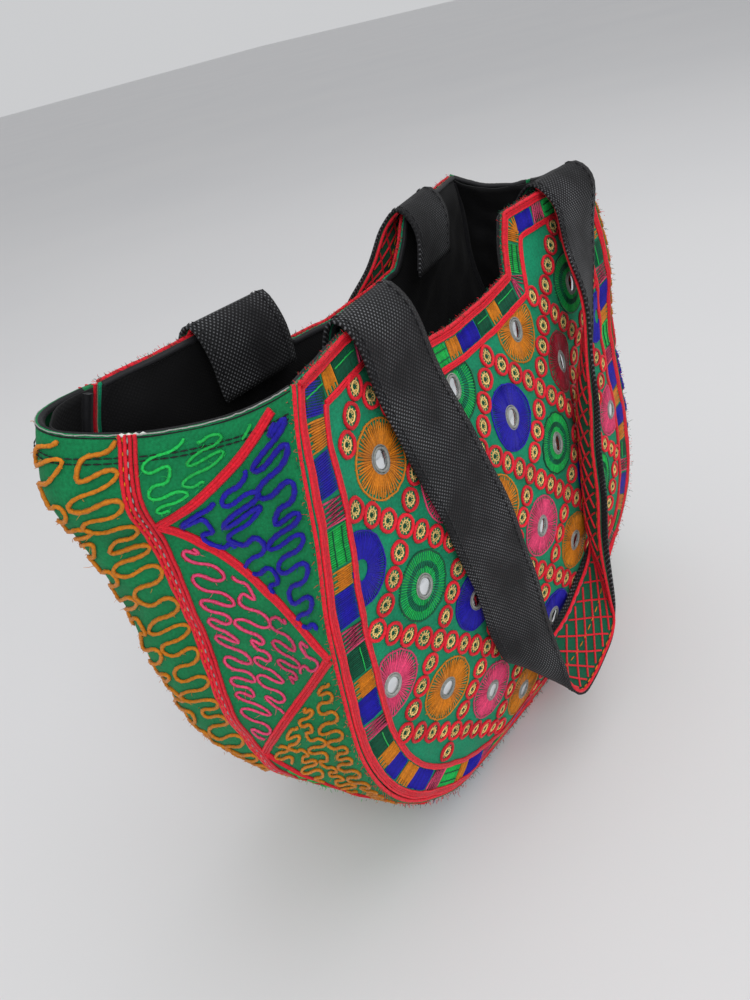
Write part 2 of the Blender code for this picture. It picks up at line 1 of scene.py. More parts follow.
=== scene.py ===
"""Looks of the embroidered tote bag: cloth, thread, mirrors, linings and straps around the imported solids.

Metres, +Z up, in the frame of the solids. Each cloth piece is a flat pattern in two coordinates that
a lift function bends over the bag, and every stitch is laid on the same pattern with the same lift.
"""

import math

import bmesh
import bpy
import numpy as np
from mathutils import Matrix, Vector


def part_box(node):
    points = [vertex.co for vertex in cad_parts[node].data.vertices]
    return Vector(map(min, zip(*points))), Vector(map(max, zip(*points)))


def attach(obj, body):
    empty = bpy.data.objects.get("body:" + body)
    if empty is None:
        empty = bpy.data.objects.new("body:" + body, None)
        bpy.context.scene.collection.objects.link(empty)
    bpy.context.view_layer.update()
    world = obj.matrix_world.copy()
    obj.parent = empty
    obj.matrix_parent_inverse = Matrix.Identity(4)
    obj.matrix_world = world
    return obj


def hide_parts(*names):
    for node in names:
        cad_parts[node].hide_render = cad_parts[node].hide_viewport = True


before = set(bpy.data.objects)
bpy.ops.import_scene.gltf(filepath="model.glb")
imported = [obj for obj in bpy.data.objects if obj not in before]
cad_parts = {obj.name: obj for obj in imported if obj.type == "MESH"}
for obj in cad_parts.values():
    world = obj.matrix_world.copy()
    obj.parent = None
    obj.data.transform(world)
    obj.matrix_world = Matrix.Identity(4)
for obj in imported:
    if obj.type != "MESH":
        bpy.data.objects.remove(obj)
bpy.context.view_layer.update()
panel_low, panel_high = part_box("front_panel")
PANELS_FROM_MIDDLE = (panel_low[0] + panel_high[0]) / 2

MM = 0.001
chance = np.random.default_rng(5)

# Front and back panels
RIM_HEIGHT = 316 * MM
NOTCH_DEPTH = 32 * MM
NOTCH_HALF_BOTTOM = 44 * MM
NOTCH_HALF_TOP = 62 * MM
NOTCH_CORNER = 3 * MM
PANEL_HALF_RIM = 143 * MM
PANEL_BOTTOM = 5 * MM
BACK_FLARE = 0.10
BACK_LEAN = 6.5 * MM
CLOTH = 2.0 * MM
PANEL_GRID = 4 * MM

# Belly of the panels: share of the deepest half depth, at shares of the rim's height
BELLY_DEPTH = 71 * MM
MIDDLE_SHARES = [
    (0, 0.69), (0.11, 0.875), (0.27, 1.0), (0.443, 1.0),
    (0.60, 0.944), (0.712, 0.845), (0.823, 0.69), (1.013, 0.465),
]
END_SHARES = [
    (0, 0.676), (0.11, 0.803), (0.27, 0.90), (0.443, 0.90),
    (0.60, 0.859), (0.712, 0.817), (1.013, 0.704),
]
END_PLACE = 140 * MM
TWIST_HEIGHT = 153 * MM
TWIST_AT_RIM = 0.075
TWIST_LEAST = -0.03
DENT_DEPTH = 11 * MM
DENT_PLACE = 74 * MM
DENT_WIDTH = 17 * MM
DENT_FADE = [(0, 0.4), (0.19, 1), (0.63, 1), (0.85, 0)]

# Half widths of the panel at heights from the rim down to the middle of the base, in millimetres
SEAM_SHAPE = [
    (316, 143), (294, 150), (256, 156), (218, 163), (179, 166), (140, 167), (112, 163),
    (88, 155), (66, 142), (44, 120), (27, 97), (15, 71), (8, 40), (5, 0),
]

# Border and lattice of the panels
EDGE_INSET = 1.2 * MM
RED_LINE = 3.2 * MM
SEAM_BAND = 13.0 * MM
RIM_BAND = 10.5 * MM
DIAMOND = 49.5 * MM
LATTICE_TOP = 295 * MM
LATTICE_REACH = 8
MEDALLION_RADIUS = 18 * MM
MIRROR_RADIUS = 4.6 * MM
COIN_RADIUS = 5.25 * MM
COINS_PER_SIDE = 4
LONG_STITCH = 7 * MM

# Gusset
GUSSET_WIDTH = 144 * MM
GUSSET_CLEARANCE = 0.1 * MM
GUSSET_GRID = 4 * MM
SEAM_GAP = 1.2 * MM
RIM_DIP = 17 * MM
RIM_DIP_LENGTH = 60 * MM
EVEN_SWELL = [(d * MM, b * MM) for d, b in [(0, 10), (75, 5), (150, 5), (215, 7), (300, 9), (411, 9)]]
NEAR_SKEW_SWELL = [(d * MM, b * MM) for d, b in [(0, 39), (75, 34), (150, 27), (215, 14), (300, 4), (411, 0)]]
FAR_SKEW_SWELL = [(d * MM, b * MM) for d, b in [(0, 16), (75, 20), (150, 19), (215, 10), (300, 2), (411, 0)]]
SKEW_PEAK = 256 / 27
ZIGZAG = [(50, 1), (122, 0), (200, 1), (273, 0), (346, 1), (411, 0)]
FIRST_TURN = 0.14
TURN_AT_SEAM = 1.5 * MM
TURN_AT_MIDDLE = 3.5 * MM
MEANDER_WAVE = 12.5 * MM
MEANDER_ROW = 17 * MM
MEANDER_GAP = 1.8 * MM
MEANDER_MARGIN = 3.8 * MM
MEANDER_KEPT = 2.0 * MM
MEANDER_LEAST = 4.5 * MM
POINTS_PER_WAVE = 26

# Linings
LINING = 0.8 * MM
LINING_MARGIN = 0.5 * MM
LINING_SET_BACK = 0.9 * MM
LINING_TIGHT = 18 * MM

# Straps
STRAP_WIDTH = 50 * MM
STRAP_HEM = 3.0 * MM
STRAP_BACKING = 1.4 * MM
STRAP_FACE = 0.8 * MM
STRAP_GRID = 4 * MM
STRAP_ROOT = 42 * MM
INNER_EDGE = [
    (-101, -34, 284), (-101, -36, 306), (-101, -45, 320.8), (-101, -56, 311), (-99, -59, 285),
    (-94, -62, 257), (-84, -69.5, 207), (-75, -74, 156), (-71, -75, 126), (-62, -75.5, 104),
    (-38, -76, 90), (-8, -76, 87), (16, -76, 94), (40, -75.5, 106), (60, -74, 122),
    (68, -71.5, 136), (74, -68.5, 168), (82, -66, 200), (93, -63, 228), (112, -57, 252),
    (132, -50, 283), (140, -49, 311), (141, -35.5, 320.8), (141, -24, 306), (141, -23, 284),
]
OUTER_EDGE = [
    (-53, -26, 284), (-53, -27, 306), (-53, -36, 320.8), (-52, -47, 311), (-50, -53, 286),
    (-43, -57, 259), (-34, -69.5, 205), (-27, -77, 150), (-27, -82, 117), (-30, -92, 80),
    (-23, -97, 49), (-5, -98, 44), (15, -98, 50), (31, -97, 62), (31, -96, 95),
    (34, -94, 130), (38, -92, 167), (47, -87, 196), (56, -82, 224), (72, -71, 262),
    (89, -53, 290), (95, -44, 311), (96, -30.5, 320.8), (96, -19, 306), (96, -18, 284),
]
CURL = [(0.27, 0), (0.36, 0.3), (0.45, 0), (0.54, -0.1), (0.6, -0.7), (0.73, -0.7), (0.8, 0)]
BACK_RIGHT_LEAN = [(h, d * MM) for h, d in [(0.47, 0), (0.63, 18), (0.83, 42), (0.9, 48), (1.015, 38)]]
BACK_LEFT_LEAN = [(h, d * MM) for h, d in [(0.47, 0), (0.83, 14), (1.015, 16)]]

# Small creases: wave length, direction and height
PANEL_CREASES = [(46 * MM, 0.4, 0.35 * MM), (27 * MM, 1.9, 0.25 * MM), (15 * MM, 2.7, 0.15 * MM)]
GUSSET_CREASES = [(52 * MM, 0.5, 0.9 * MM), (31 * MM, 1.2, 0.5 * MM), (17 * MM, 2.4, 0.25 * MM)]
LINING_CREASES = [(70 * MM, 0.3, 1.1 * MM), (38 * MM, 1.0, 0.8 * MM), (21 * MM, 2.1, 0.5 * MM)]
LINING_CREASE_DEPTH = 2.4 * MM

THREAD_COLOURS = {
    "red": (0.75, 0.012, 0.03),
    "crimson": (0.33, 0.005, 0.022),
    "blue": (0.012, 0.008, 0.36),
    "gold": (0.62, 0.20, 0.008),
    "pink": (0.74, 0.06, 0.17),
    "bright_green": (0.01, 0.48, 0.08),
    "dark_green": (0.002, 0.085, 0.04),
    "cream": (0.92, 0.65, 0.23),
    "grey": (0.30, 0.31, 0.29),
    "white": (0.80, 0.80, 0.76),
    "black": (0.012, 0.012, 0.014),
}


# Curves and smooth steps

def eased(knots, at):
    """A smooth curve through the knots, level at its ends, at an array of places."""
    places, values = np.array(knots, float).T
    at = np.clip(at, places[0], places[-1])
    i = np.clip(np.searchsorted(places, at) - 1, 0, len(places) - 2)
    slopes = np.zeros(len(places))
    slopes[1:-1] = (values[2:] - values[:-2]) / (places[2:] - places[:-2])
    span = places[i + 1] - places[i]
    t = (at - places[i]) / span
    return (
        (2 * t**3 - 3 * t**2 + 1) * values[i]
        + (t**3 - 2 * t**2 + t) * span * slopes[i]
        + (3 * t**2 - 2 * t**3) * values[i + 1]
        + (t**3 - t**2) * span * slopes[i + 1]
    )


def through(points, share):
    """A smooth curve through the points, at shares of the way along."""
    points = np.asarray(points, float)
    place = np.clip(share, 0, 1) * (len(points) - 1)
    i = np.minimum(place.astype(int), len(points) - 2)
    t = (place - i)[:, None]
    p0 = points[np.maximum(i - 1, 0)]
    p1 = points[i]
    p2 = points[i + 1]
    p3 = points[np.minimum(i + 2, len(points) - 1)]
    bend = (3 * p1 - p0 - 3 * p2 + p3) * t**3
    return 0.5 * (2 * p1 + (p2 - p0) * t + (2 * p0 - 5 * p1 + 4 * p2 - p3) * t * t + bend)


def lengths_along(path):
    return np.concatenate([[0], np.cumsum(np.linalg.norm(np.diff(path, axis=0), axis=1))])


def resampled(path, spacing):
    """The path with its points about this far apart."""
    path = np.asarray(path, float)
    lengths = lengths_along(path)
    count = max(2, round(lengths[-1] / spacing) + 1)
    at = np.linspace(0, lengths[-1], count)
    return np.stack([np.interp(at, lengths, path[:, k]) for k in range(path.shape[1])], 1)


def inset(outline, amounts):
    """The clockwise outline with the side before each point moved inwards, and mitred corners."""
    points = np.asarray(outline, float)
    amounts = np.broadcast_to(amounts, len(points))
    before = points - np.roll(points, 1, axis=0)
    before /= np.linalg.norm(before, axis=1)[:, None]
    after = np.roll(before, -1, axis=0)
    inward_1 = np.stack([before[:, 1], -before[:, 0]], 1)
    inward_2 = np.stack([after[:, 1], -after[:, 0]], 1)
    shared = 1 + (inward_1 * inward_2).sum(axis=1)
    lean = (before * inward_2).sum(axis=1)
    sharp = np.abs(lean) > 0.1
    slide = np.where(sharp, (np.roll(amounts, -1) - amounts) / np.where(sharp, lean, 1), 0)
    return points + (inward_1 + inward_2) * (amounts / shared)[:, None] + before * slide[:, None]


def inside(points, outline):
    """Which of the points lie inside the closed outline."""
    points = np.atleast_2d(points)
    hits = np.zeros(len(points), int)
    for (x1, z1), (x0, z0) in zip(outline, np.roll(outline, 1, axis=0)):
        crosses = (z0 > points[:, 1]) != (z1 > points[:, 1])
        rise = z1 - z0 if z1 != z0 else 1
        hits += crosses & (points[:, 0] < (x1 - x0) * (points[:, 1] - z0) / rise + x0)
    return hits % 2 == 1


def creased(creases, u, v, seed):
    """Height of small soft creases at a place of the flat pattern."""
    height = np.zeros_like(u)
    for k, (length, angle, size) in enumerate(creases):
        along = u * math.cos(angle + seed) + v * math.sin(angle + seed)
        across = v * math.cos(angle + seed) - u * math.sin(angle + seed)
        wander = 0.9 * np.sin(across * 2 * math.pi / (1.7 * length) + seed + k)
        height += size * np.sin(along * 2 * math.pi / length + wander + 2.3 * k + seed)
    return height


# Shape of the panels

def twist(z):
    return np.maximum(TWIST_LEAST, TWIST_AT_RIM * (z - TWIST_HEIGHT) / (RIM_HEIGHT - TWIST_HEIGHT))


def panel_depth(x, z, side):
    """Y of the outer face of the front (side -1) or back (side 1) panel."""
    share = z / RIM_HEIGHT
    middle = eased(MIDDLE_SHARES, share)
    end = eased(END_SHARES, share)
    depth = BELLY_DEPTH * (middle + (end - middle) * (x / END_PLACE) ** 2)
    dent = 0.5 * (1 + np.tanh((x - DENT_PLACE) / DENT_WIDTH))
    depth = depth - DENT_DEPTH * eased(DENT_FADE, share) * dent
    return side * depth + x * twist(z)


def flared(x, z, side):
    """X of a place on the panel: the back panel's top spreads, more to the left than to the right."""
    if side < 0:
        return x
    flare = eased([(0.63, 0), (0.95, 1)], z / RIM_HEIGHT)
    return x + (BACK_FLARE * x - BACK_LEAN * (x / PANEL_HALF_RIM) ** 2) * flare


def panel_lift(side, creases=PANEL_CREASES):
    """The map from a panel's pattern (x, z) and a height above its outer face to space."""

    def lift(flat, rise):
        x, z = flat[:, 0], flat[:, 1]
        step = 1 * MM
        slope_x = (panel_depth(x + step, z, side) - panel_depth(x - step, z, side)) / (2 * step)
        slope_z = (panel_depth(x, z + step, side) - panel_depth(x, z - step, side)) / (2 * step)
        normal = np.stack([-slope_x, np.ones_like(x), -slope_z], 1) * side
        normal /= np.linalg.norm(normal, axis=1)[:, None]
        base = np.stack([flared(x, z, side), panel_depth(x, z, side), z], 1)
        return base + normal * (rise + creased(creases, x, z, 1.0 + side))[:, None]

    return lift


def right_seam():
    tall = (RIM_HEIGHT - PANEL_BOTTOM) / (311 * MM)
    return [(x * MM, PANEL_BOTTOM + (z - 5) * tall * MM) for z, x in SEAM_SHAPE]


def panel_outline():
    """Closed outline of a panel, clockwise from the right end of the rim."""
    right = right_seam()
    left = [(-x, z) for x, z in reversed(right[:-1])]
    notch_floor = RIM_HEIGHT - NOTCH_DEPTH
    rim = [
        (-(PANEL_HALF_RIM + NOTCH_HALF_TOP) / 2, RIM_HEIGHT),
        (-NOTCH_HALF_TOP, RIM_HEIGHT),
        (-NOTCH_HALF_BOTTOM - NOTCH_CORNER, notch_floor + NOTCH_CORNER),
        (-NOTCH_HALF_BOTTOM / 2.5, notch_floor),
    ]
    return right + left + rim + [(-x, z) for x, z in reversed(rim)]


SEAM_POINTS = 2 * len(SEAM_SHAPE) - 1


def moved_in(seam, rim):
    """The panel's outline moved inwards, by different amounts at its curved seam and at its rim."""
    outline = panel_outline()
    amounts = np.full(len(outline), rim)
    amounts[1:SEAM_POINTS] = seam
    return inset(outline, amounts)


def border_line(reds, bands, more=0.0):
    """The panel's outline moved in by this many red lines and bands of blocks."""
    shared = EDGE_INSET + reds * RED_LINE + more
    return moved_in(shared + bands * SEAM_BAND, shared + bands * RIM_BAND)


def seam_part(line, spacing):
    """The curved part of a panel's line, from the right end of the rim to the left end."""
    return resampled(through(line[:SEAM_POINTS], np.linspace(0, 1, 8 * SEAM_POINTS)), spacing)


def rim_part(line, spacing):
    """The rim and notch of a panel's line, from the left end to the right end."""
    return resampled(np.vstack([line[SEAM_POINTS - 1:], line[:1]]), spacing)


def whole(line, spacing):
    return np.vstack([seam_part(line, spacing)[:-1], rim_part(line, spacing)[:-1]])


# Shape of the gusset

SEAM = np.array([(-x, z) for x, z in right_seam()] + right_seam()[-2::-1])
SEAM = through(SEAM, np.linspace(0, 1, 8 * SEAM_POINTS))
SEAM_LENGTHS = lengths_along(SEAM)
SEAM_LENGTH = SEAM_LENGTHS[-1]


def along_seam(distance):
    return np.stack([np.interp(distance, SEAM_LENGTHS, SEAM[:, k]) for k in (0, 1)], 1)


def gusset_middle(distance, across):
    """The gusset's outer face at a distance along the seam and a share of the way from front to back."""
    step = 6 * MM
    run = along_seam(np.minimum(distance + step, SEAM_LENGTH)) - along_seam(np.maximum(distance - step, 0))
    run /= np.linalg.norm(run, axis=1)[:, None]
    x, z = along_seam(distance).T
    from_rim = np.minimum(distance, SEAM_LENGTH - distance)
    near = distance < SEAM_LENGTH / 2
    lean = np.where(near, across, 1 - across)
    bow = 4 * across * (1 - across)
    skew = np.where(near, eased(NEAR_SKEW_SWELL, from_rim), eased(FAR_SKEW_SWELL, from_rim))
    swell = eased(EVEN_SWELL, from_rim) * bow + skew * SKEW_PEAK * lean**3 * (1 - lean)
    front = np.stack([x, panel_depth(x, z, -1), z], 1)
    back = np.stack([flared(x, z, 1), panel_depth(x, z, 1), z], 1)
    point = front + (back - front) * across[:, None]
    point[:, 0] += run[:, 1] * (swell + CLOTH + SEAM_GAP)
    point[:, 2] -= run[:, 0] * (swell + CLOTH + SEAM_GAP)
    point[:, 2] -= RIM_DIP * bow * eased([(0, 1), (RIM_DIP_LENGTH, 0)], from_rim)
    return point


def gusset_lift(creases=GUSSET_CREASES):
    """The map from the gusset's pattern (distance along, distance across) to space."""

    def lift(flat, rise):
        along, over = flat[:, 0], flat[:, 1]
        step = 0.5 * MM
        across = over / GUSSET_WIDTH
        side_step = step / GUSSET_WIDTH
        run = gusset_middle(along + step, across) - gusset_middle(along - step, across)
        width = gusset_middle(along, across + side_step) - gusset_middle(along, across - side_step)
        normal = np.cross(width, run)
        normal /= np.linalg.norm(normal, axis=1)[:, None]
        low = gusset_middle(along, across)[:, 2]
        calm = np.clip(low / (60 * MM), 0, 1) * np.clip(4 * across * (1 - across), 0, 1)
        point = gusset_middle(along, across)
        point += normal * (rise + calm * creased(creases, along, over, 0.0))[:, None]
        point[:, 2] = np.maximum(point[:, 2], -np.minimum(rise, 0.0))
        return point

    return lift


# Shape of the straps

def strap_line():
    shares = np.linspace(0, 1, 600)
    middle = (through(INNER_EDGE, shares) + through(OUTER_EDGE, shares)) / 2 * MM
    return shares, lengths_along(middle)


STRAP_SHARES, STRAP_LENGTHS = strap_line()
STRAP_LENGTH = STRAP_LENGTHS[-1]


def on_front(point):
    return point


def behind(point):
    """The place on the back handle that answers to a place on the front one."""
    x0, y0, z = point.T
    height = z / RIM_HEIGHT
    right = eased([(0, 0), (STRAP_WIDTH, 1)], x0)
    x = x0 - eased(BACK_RIGHT_LEAN, height) * right - eased(BACK_LEFT_LEAN, height) * (1 - right)
    off = panel_depth(x0, z, -1) - y0
    on_panel = x
    for _ in range(3):
        on_panel = on_panel + x - flared(on_panel, z, 1)
    return np.stack([x, panel_depth(on_panel, z, 1) + off, z], 1)


def strap_lift(place):
    """The map from a strap's pattern (distance along, distance from its middle) to space."""

    def lift(flat, rise):
        share = np.interp(flat[:, 0], STRAP_LENGTHS, STRAP_SHARES)
        step = 0.01
        a = through(INNER_EDGE, share) * MM
        b = through(OUTER_EDGE, share) * MM
        ahead = through(INNER_EDGE, share + step) + through(OUTER_EDGE, share + step)
        before = through(INNER_EDGE, share - step) + through(OUTER_EDGE, share - step)
        chord = np.minimum(np.linalg.norm(b - a, axis=1), STRAP_WIDTH)
        wide = (b - a) / np.linalg.norm(b - a, axis=1)[:, None]
        normal = np.cross(ahead - before, wide)
        normal /= np.linalg.norm(normal, axis=1)[:, None]
        curl = eased(CURL, share) * np.sqrt(3 * chord * (STRAP_WIDTH - chord) / 8)
        part = flat[:, 1] / (STRAP_WIDTH / 2)
        wave = 0.5 * MM * np.sin(flat[:, 0] * 2 * math.pi / (55 * MM)) * part
        height = rise + curl * (1 - part**2) + wave
        return place((a + b) / 2 + wide * (part * chord / 2)[:, None] + normal * height[:, None])

    return lift


# Materials

def finish_nodes(name, roughness):
    """A new material with its node tree, links and shader."""
    made = bpy.data.materials.new(name)
    made.use_nodes = True
    shader = made.node_tree.nodes["Principled BSDF"]
    shader.inputs["Roughness"].default_value = roughness
    shader.inputs["Specular IOR Level"].default_value = 0.2
    return made, made.node_tree.nodes, made.node_tree.links, shader


def sum_node(nodes, links, operation, a, b=None):
    """A math node on two values, each a socket or a number."""
    node = nodes.new("ShaderNodeMath")
    node.operation = operation
    for k, value in enumerate((a, b)):
        if value is None:
            continue
        if isinstance(value, (int, float)):
            node.inputs[k].default_value = value
        else:
            links.new(value, node.inputs[k])
    return node.outputs[0]


def noise(nodes, links, coordinates, scale, detail=2.0):
    node = nodes.new("ShaderNodeTexNoise")
    node.inputs["Scale"].default_value = scale
    node.inputs["Detail"].default_value = detail
    links.new(coordinates, node.inputs["Vector"])
    return node.outputs["Fac"]


def spread(nodes, links, value, low, high, start=0.0, end=1.0):
    """The value's range from start to end, spread from low to high."""
    node = nodes.new("ShaderNodeMapRange")
    links.new(value, node.inputs["Value"])
    node.inputs["From Min"].default_value = start
    node.inputs["From Max"].default_value = end
    node.inputs["To Min"].default_value = low
    node.inputs["To Max"].default_value = high
    return node.outputs["Result"]


def mixed(nodes, links, share, a, b, blend="MIX"):
    """Two colours mixed, each a socket or a colour."""
    node = nodes.new("ShaderNodeMix")
    node.data_type = "RGBA"
    node.blend_type = blend
    if isinstance(share, (int, float)):
        node.inputs[0].default_value = share
    else:
        links.new(share, node.inputs[0])
    for k, value in ((6, a), (7, b)):
        if isinstance(value, tuple):
            node.inputs[k].default_value = (*value, 1)
        else:
            links.new(value, node.inputs[k])
    return node.outputs[2]


def bumped(nodes, links, shader, height, strength, distance):
    node = nodes.new("ShaderNodeBump")
    node.inputs["Strength"].default_value = strength
    node.inputs["Distance"].default_value = distance
    links.new(height, node.inputs["Height"])
    links.new(node.outputs["Normal"], shader.inputs["Normal"])


def lattice_of_dots(nodes, links, flat, pitch):
    """Small raised dots in a diamond lattice on the flat pattern."""
    parts = nodes.new("ShaderNodeSeparateXYZ")
    links.new(flat, parts.inputs[0])
    x, y = parts.outputs[0], parts.outputs[1]
    turn = math.pi / pitch
    one = sum_node(nodes, links, "ADD", x, y)
    other = sum_node(nodes, links, "SUBTRACT", x, y)
    one = sum_node(nodes, links, "SINE", sum_node(nodes, links, "MULTIPLY", one, turn))
    other = sum_node(nodes, links, "SINE", sum_node(nodes, links, "MULTIPLY", other, turn))
    both = sum_node(nodes, links, "MULTIPLY", one, other)
    return sum_node(nodes, links, "ABSOLUTE", both)


def thread_finish(colour):
    """Twisted cotton or silk thread, each stitch a little lighter or darker than the next."""
    made, nodes, links, shader = finish_nodes(f"{colour}_thread", 0.5)
    shader.inputs["Sheen Weight"].default_value = 0.06
    place = nodes.new("ShaderNodeTexCoord").outputs["Object"]
    stitch = nodes.new("ShaderNodeNewGeometry").outputs["Random Per Island"]
    shade = spread(nodes, links, stitch, 0.78, 1.14)
    fibre = spread(nodes, links, noise(nodes, links, place, 900.0), 0.72, 1.22, 0.25, 0.75)
    shade = sum_node(nodes, links, "MULTIPLY", shade, fibre)
    tint = mixed(nodes, links, 1.0, THREAD_COLOURS[colour], shade, "MULTIPLY")
    links.new(tint, shader.inputs["Base Color"])
    bumped(nodes, links, shader, noise(nodes, links, place, 1500.0), 0.6, 0.3 * MM)
    return made


def cloth_finish(name, colour, weave_pitch):
    """Plain woven cotton: a fine weave, faded in soft patches."""
    made, nodes, links, shader = finish_nodes(name, 0.85)
    shader.inputs["Sheen Weight"].default_value = 0.04
    flat = nodes.new("ShaderNodeUVMap")
    flat.uv_map = "flat"
    flat = flat.outputs["UV"]
    weave = lattice_of_dots(nodes, links, flat, weave_pitch)
    patches = spread(nodes, links, noise(nodes, links, flat, 45.0, 4.0), 0.78, 1.18, 0.25, 0.75)
    slub = spread(nodes, links, noise(nodes, links, flat, 700.0, 3.0), 0.72, 1.2, 0.25, 0.75)
    shade = sum_node(nodes, links, "MULTIPLY", patches, slub)
    tint = mixed(nodes, links, 1.0, colour, shade, "MULTIPLY")
    links.new(tint, shader.inputs["Base Color"])
    grain = sum_node(nodes, links, "ADD", weave, noise(nodes, links, flat, 1200.0))
    bumped(nodes, links, shader, grain, 0.45, 0.25 * MM)
    return made


def non_woven_finish(name, ground, dot, pitch, strength):
    """Bonded black cloth with a lattice of pressed dots, the dot tops lightened as a painted sheen highlight that
    comes and goes in patches.
    """
    made, nodes, links, shader = finish_nodes(name, 0.7)
    shader.inputs["Sheen Weight"].default_value = 0.04
    flat = nodes.new("ShaderNodeUVMap")
    flat.uv_map = "flat"
    flat = flat.outputs["UV"]
    dots = lattice_of_dots(nodes, links, flat, pitch)
    # Painted sheen: a noise mask that makes the painted highlight on the dots uneven in patches
    sheen_patches = spread(nodes, links, noise(nodes, links, flat, 30.0, 3.0), 0.08, 1.0, 0.4, 0.68)
    painted_sheen_share = sum_node(nodes, links, "MULTIPLY", spread(nodes, links, dots, 0.0, 1.0, 0.6, 0.92), sheen_patches)
    # The dot colour is a painted sheen highlight, mixed over the ground colour on the dot tops
    links.new(mixed(nodes, links, painted_sheen_share, ground, dot), shader.inputs["Base Color"])
    fibre = sum_node(nodes, links, "MULTIPLY", noise(nodes, links, flat, 1500.0, 3.0), 0.35)
    bumped(nodes, links, shader, sum_node(nodes, links, "ADD", dots, fibre), strength, 0.4 * MM)
    return made


def mirror_finish():
    """Small sewn mirrors, a little uneven and smudged."""
    made, nodes, links, shader = finish_nodes("mirror", 0.1)
    shader.inputs["Metallic"].default_value = 1.0
    place = nodes.new("ShaderNodeTexCoord").outputs["Object"]
    smudge = noise(nodes, links, place, 160.0, 3.0)
    links.new(mixed(nodes, links, smudge, (0.62, 0.66, 0.68), (0.92, 0.94, 0.96)), shader.inputs["Base Color"])
    links.new(spread(nodes, links, smudge, 0.04, 0.3, 0.3, 0.7), shader.inputs["Roughness"])
    bumped(nodes, links, shader, noise(nodes, links, place, 220.0), 0.25, 0.6 * MM)
    return made


def floor_finish():
    made, nodes, links, shader = finish_nodes("pale_floor", 0.75)
    place = nodes.new("ShaderNodeTexCoord").outputs["Object"]
    cloudy = noise(nodes, links, place, 1.5)
    links.new(mixed(nodes, links, cloudy, (0.68, 0.68, 0.69), (0.73, 0.725, 0.725)), shader.inputs["Base Color"])
    bumped(nodes, links, shader, noise(nodes, links, place, 90.0), 0.08, 1 * MM)
    return made


# Making pieces

def placed(name, mesh, finish, slot):
    """The finished piece: a mesh object at the origin that rides with the bag."""
    mesh.materials.clear()
    mesh.materials.append(finish)
    mesh.transform(Matrix.Translation((PANELS_FROM_MIDDLE, 0, 0)))
    obj = bpy.data.objects.new(name, mesh)
    bpy.context.scene.collection.objects.link(obj)
    mesh.polygons.foreach_set("use_smooth", [True] * len(mesh.polygons))
    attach(obj, "root")
    return obj


def flat_outline(outline, spacing):
    """A flat face with this outline, cut into a grid."""
    mesh = bmesh.new()
    mesh.faces.new([mesh.verts.new((x, y, 0)) for x, y in outline])
    low = np.min(outline, axis=0)
    high = np.max(outline, axis=0)
    for axis in (0, 1):
        direction = (1, 0, 0) if axis == 0 else (0, 1, 0)
        for place in np.arange(low[axis] + spacing / 2, high[axis], spacing):
            centre = [place * d for d in direction]
            parts = list(mesh.verts) + list(mesh.edges) + list(mesh.faces)
            bmesh.ops.bisect_plane(mesh, geom=parts, dist=0.02 * MM, plane_co=centre, plane_no=direction)
    return mesh


def flat_grid(low, high, spacing):
    """A flat rectangle, cut into a grid."""
    size = np.subtract(high, low)
    middle = np.add(low, high) / 2
    place = Matrix.Translation((*middle, 0)) @ Matrix.Diagonal((size[0] / 2, size[1] / 2, 1, 1))
    mesh = bmesh.new()
    counts = np.maximum(2, np.round(size / spacing)).astype(int)
    bmesh.ops.create_grid(mesh, x_segments=counts[0], y_segments=counts[1], size=1, matrix=place)
    return mesh


def lifted(mesh, lift, rise):
    """Bends a flat pattern over the bag, keeping the pattern as its UV map, with its faces outwards."""
    kept = mesh.loops.layers.uv.new("flat")
    for face in mesh.faces:
        for loop in face.loops:
            loop[kept].uv = loop.vert.co.xy
    flat = np.array([tuple(v.co.xy) for v in mesh.verts])
    level = np.full(len(flat), rise)
    places = lift(flat, level)
    outward = lift(flat, level + MM) - places
    for vert, place in zip(mesh.verts, places):
        vert.co = place
    mesh.normal_update()
    mesh.verts.ensure_lookup_table()
    mesh.verts.index_update()
    facing = sum(np.dot(face.normal, outward[face.verts[0].index]) for face in mesh.faces)
    if facing < 0:
        bmesh.ops.reverse_faces(mesh, faces=list(mesh.faces))


def cloth_piece(node, flat_mesh, lift, rise, thickness, finish, slot):
    """A sheet of cloth in place of a solid, with its middle at a height above the bag's outer face."""
    lifted(flat_mesh, lift, rise)
    mesh = bpy.data.meshes.new(node)
    flat_mesh.to_mesh(mesh)
    flat_mesh.free()
    obj = placed(f"{node}_cloth", mesh, finish, slot)
    solidify = obj.modifiers.new("thickness", "SOLIDIFY")
    solidify.thickness = thickness
    solidify.offset = 0
    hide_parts(node)
    return obj


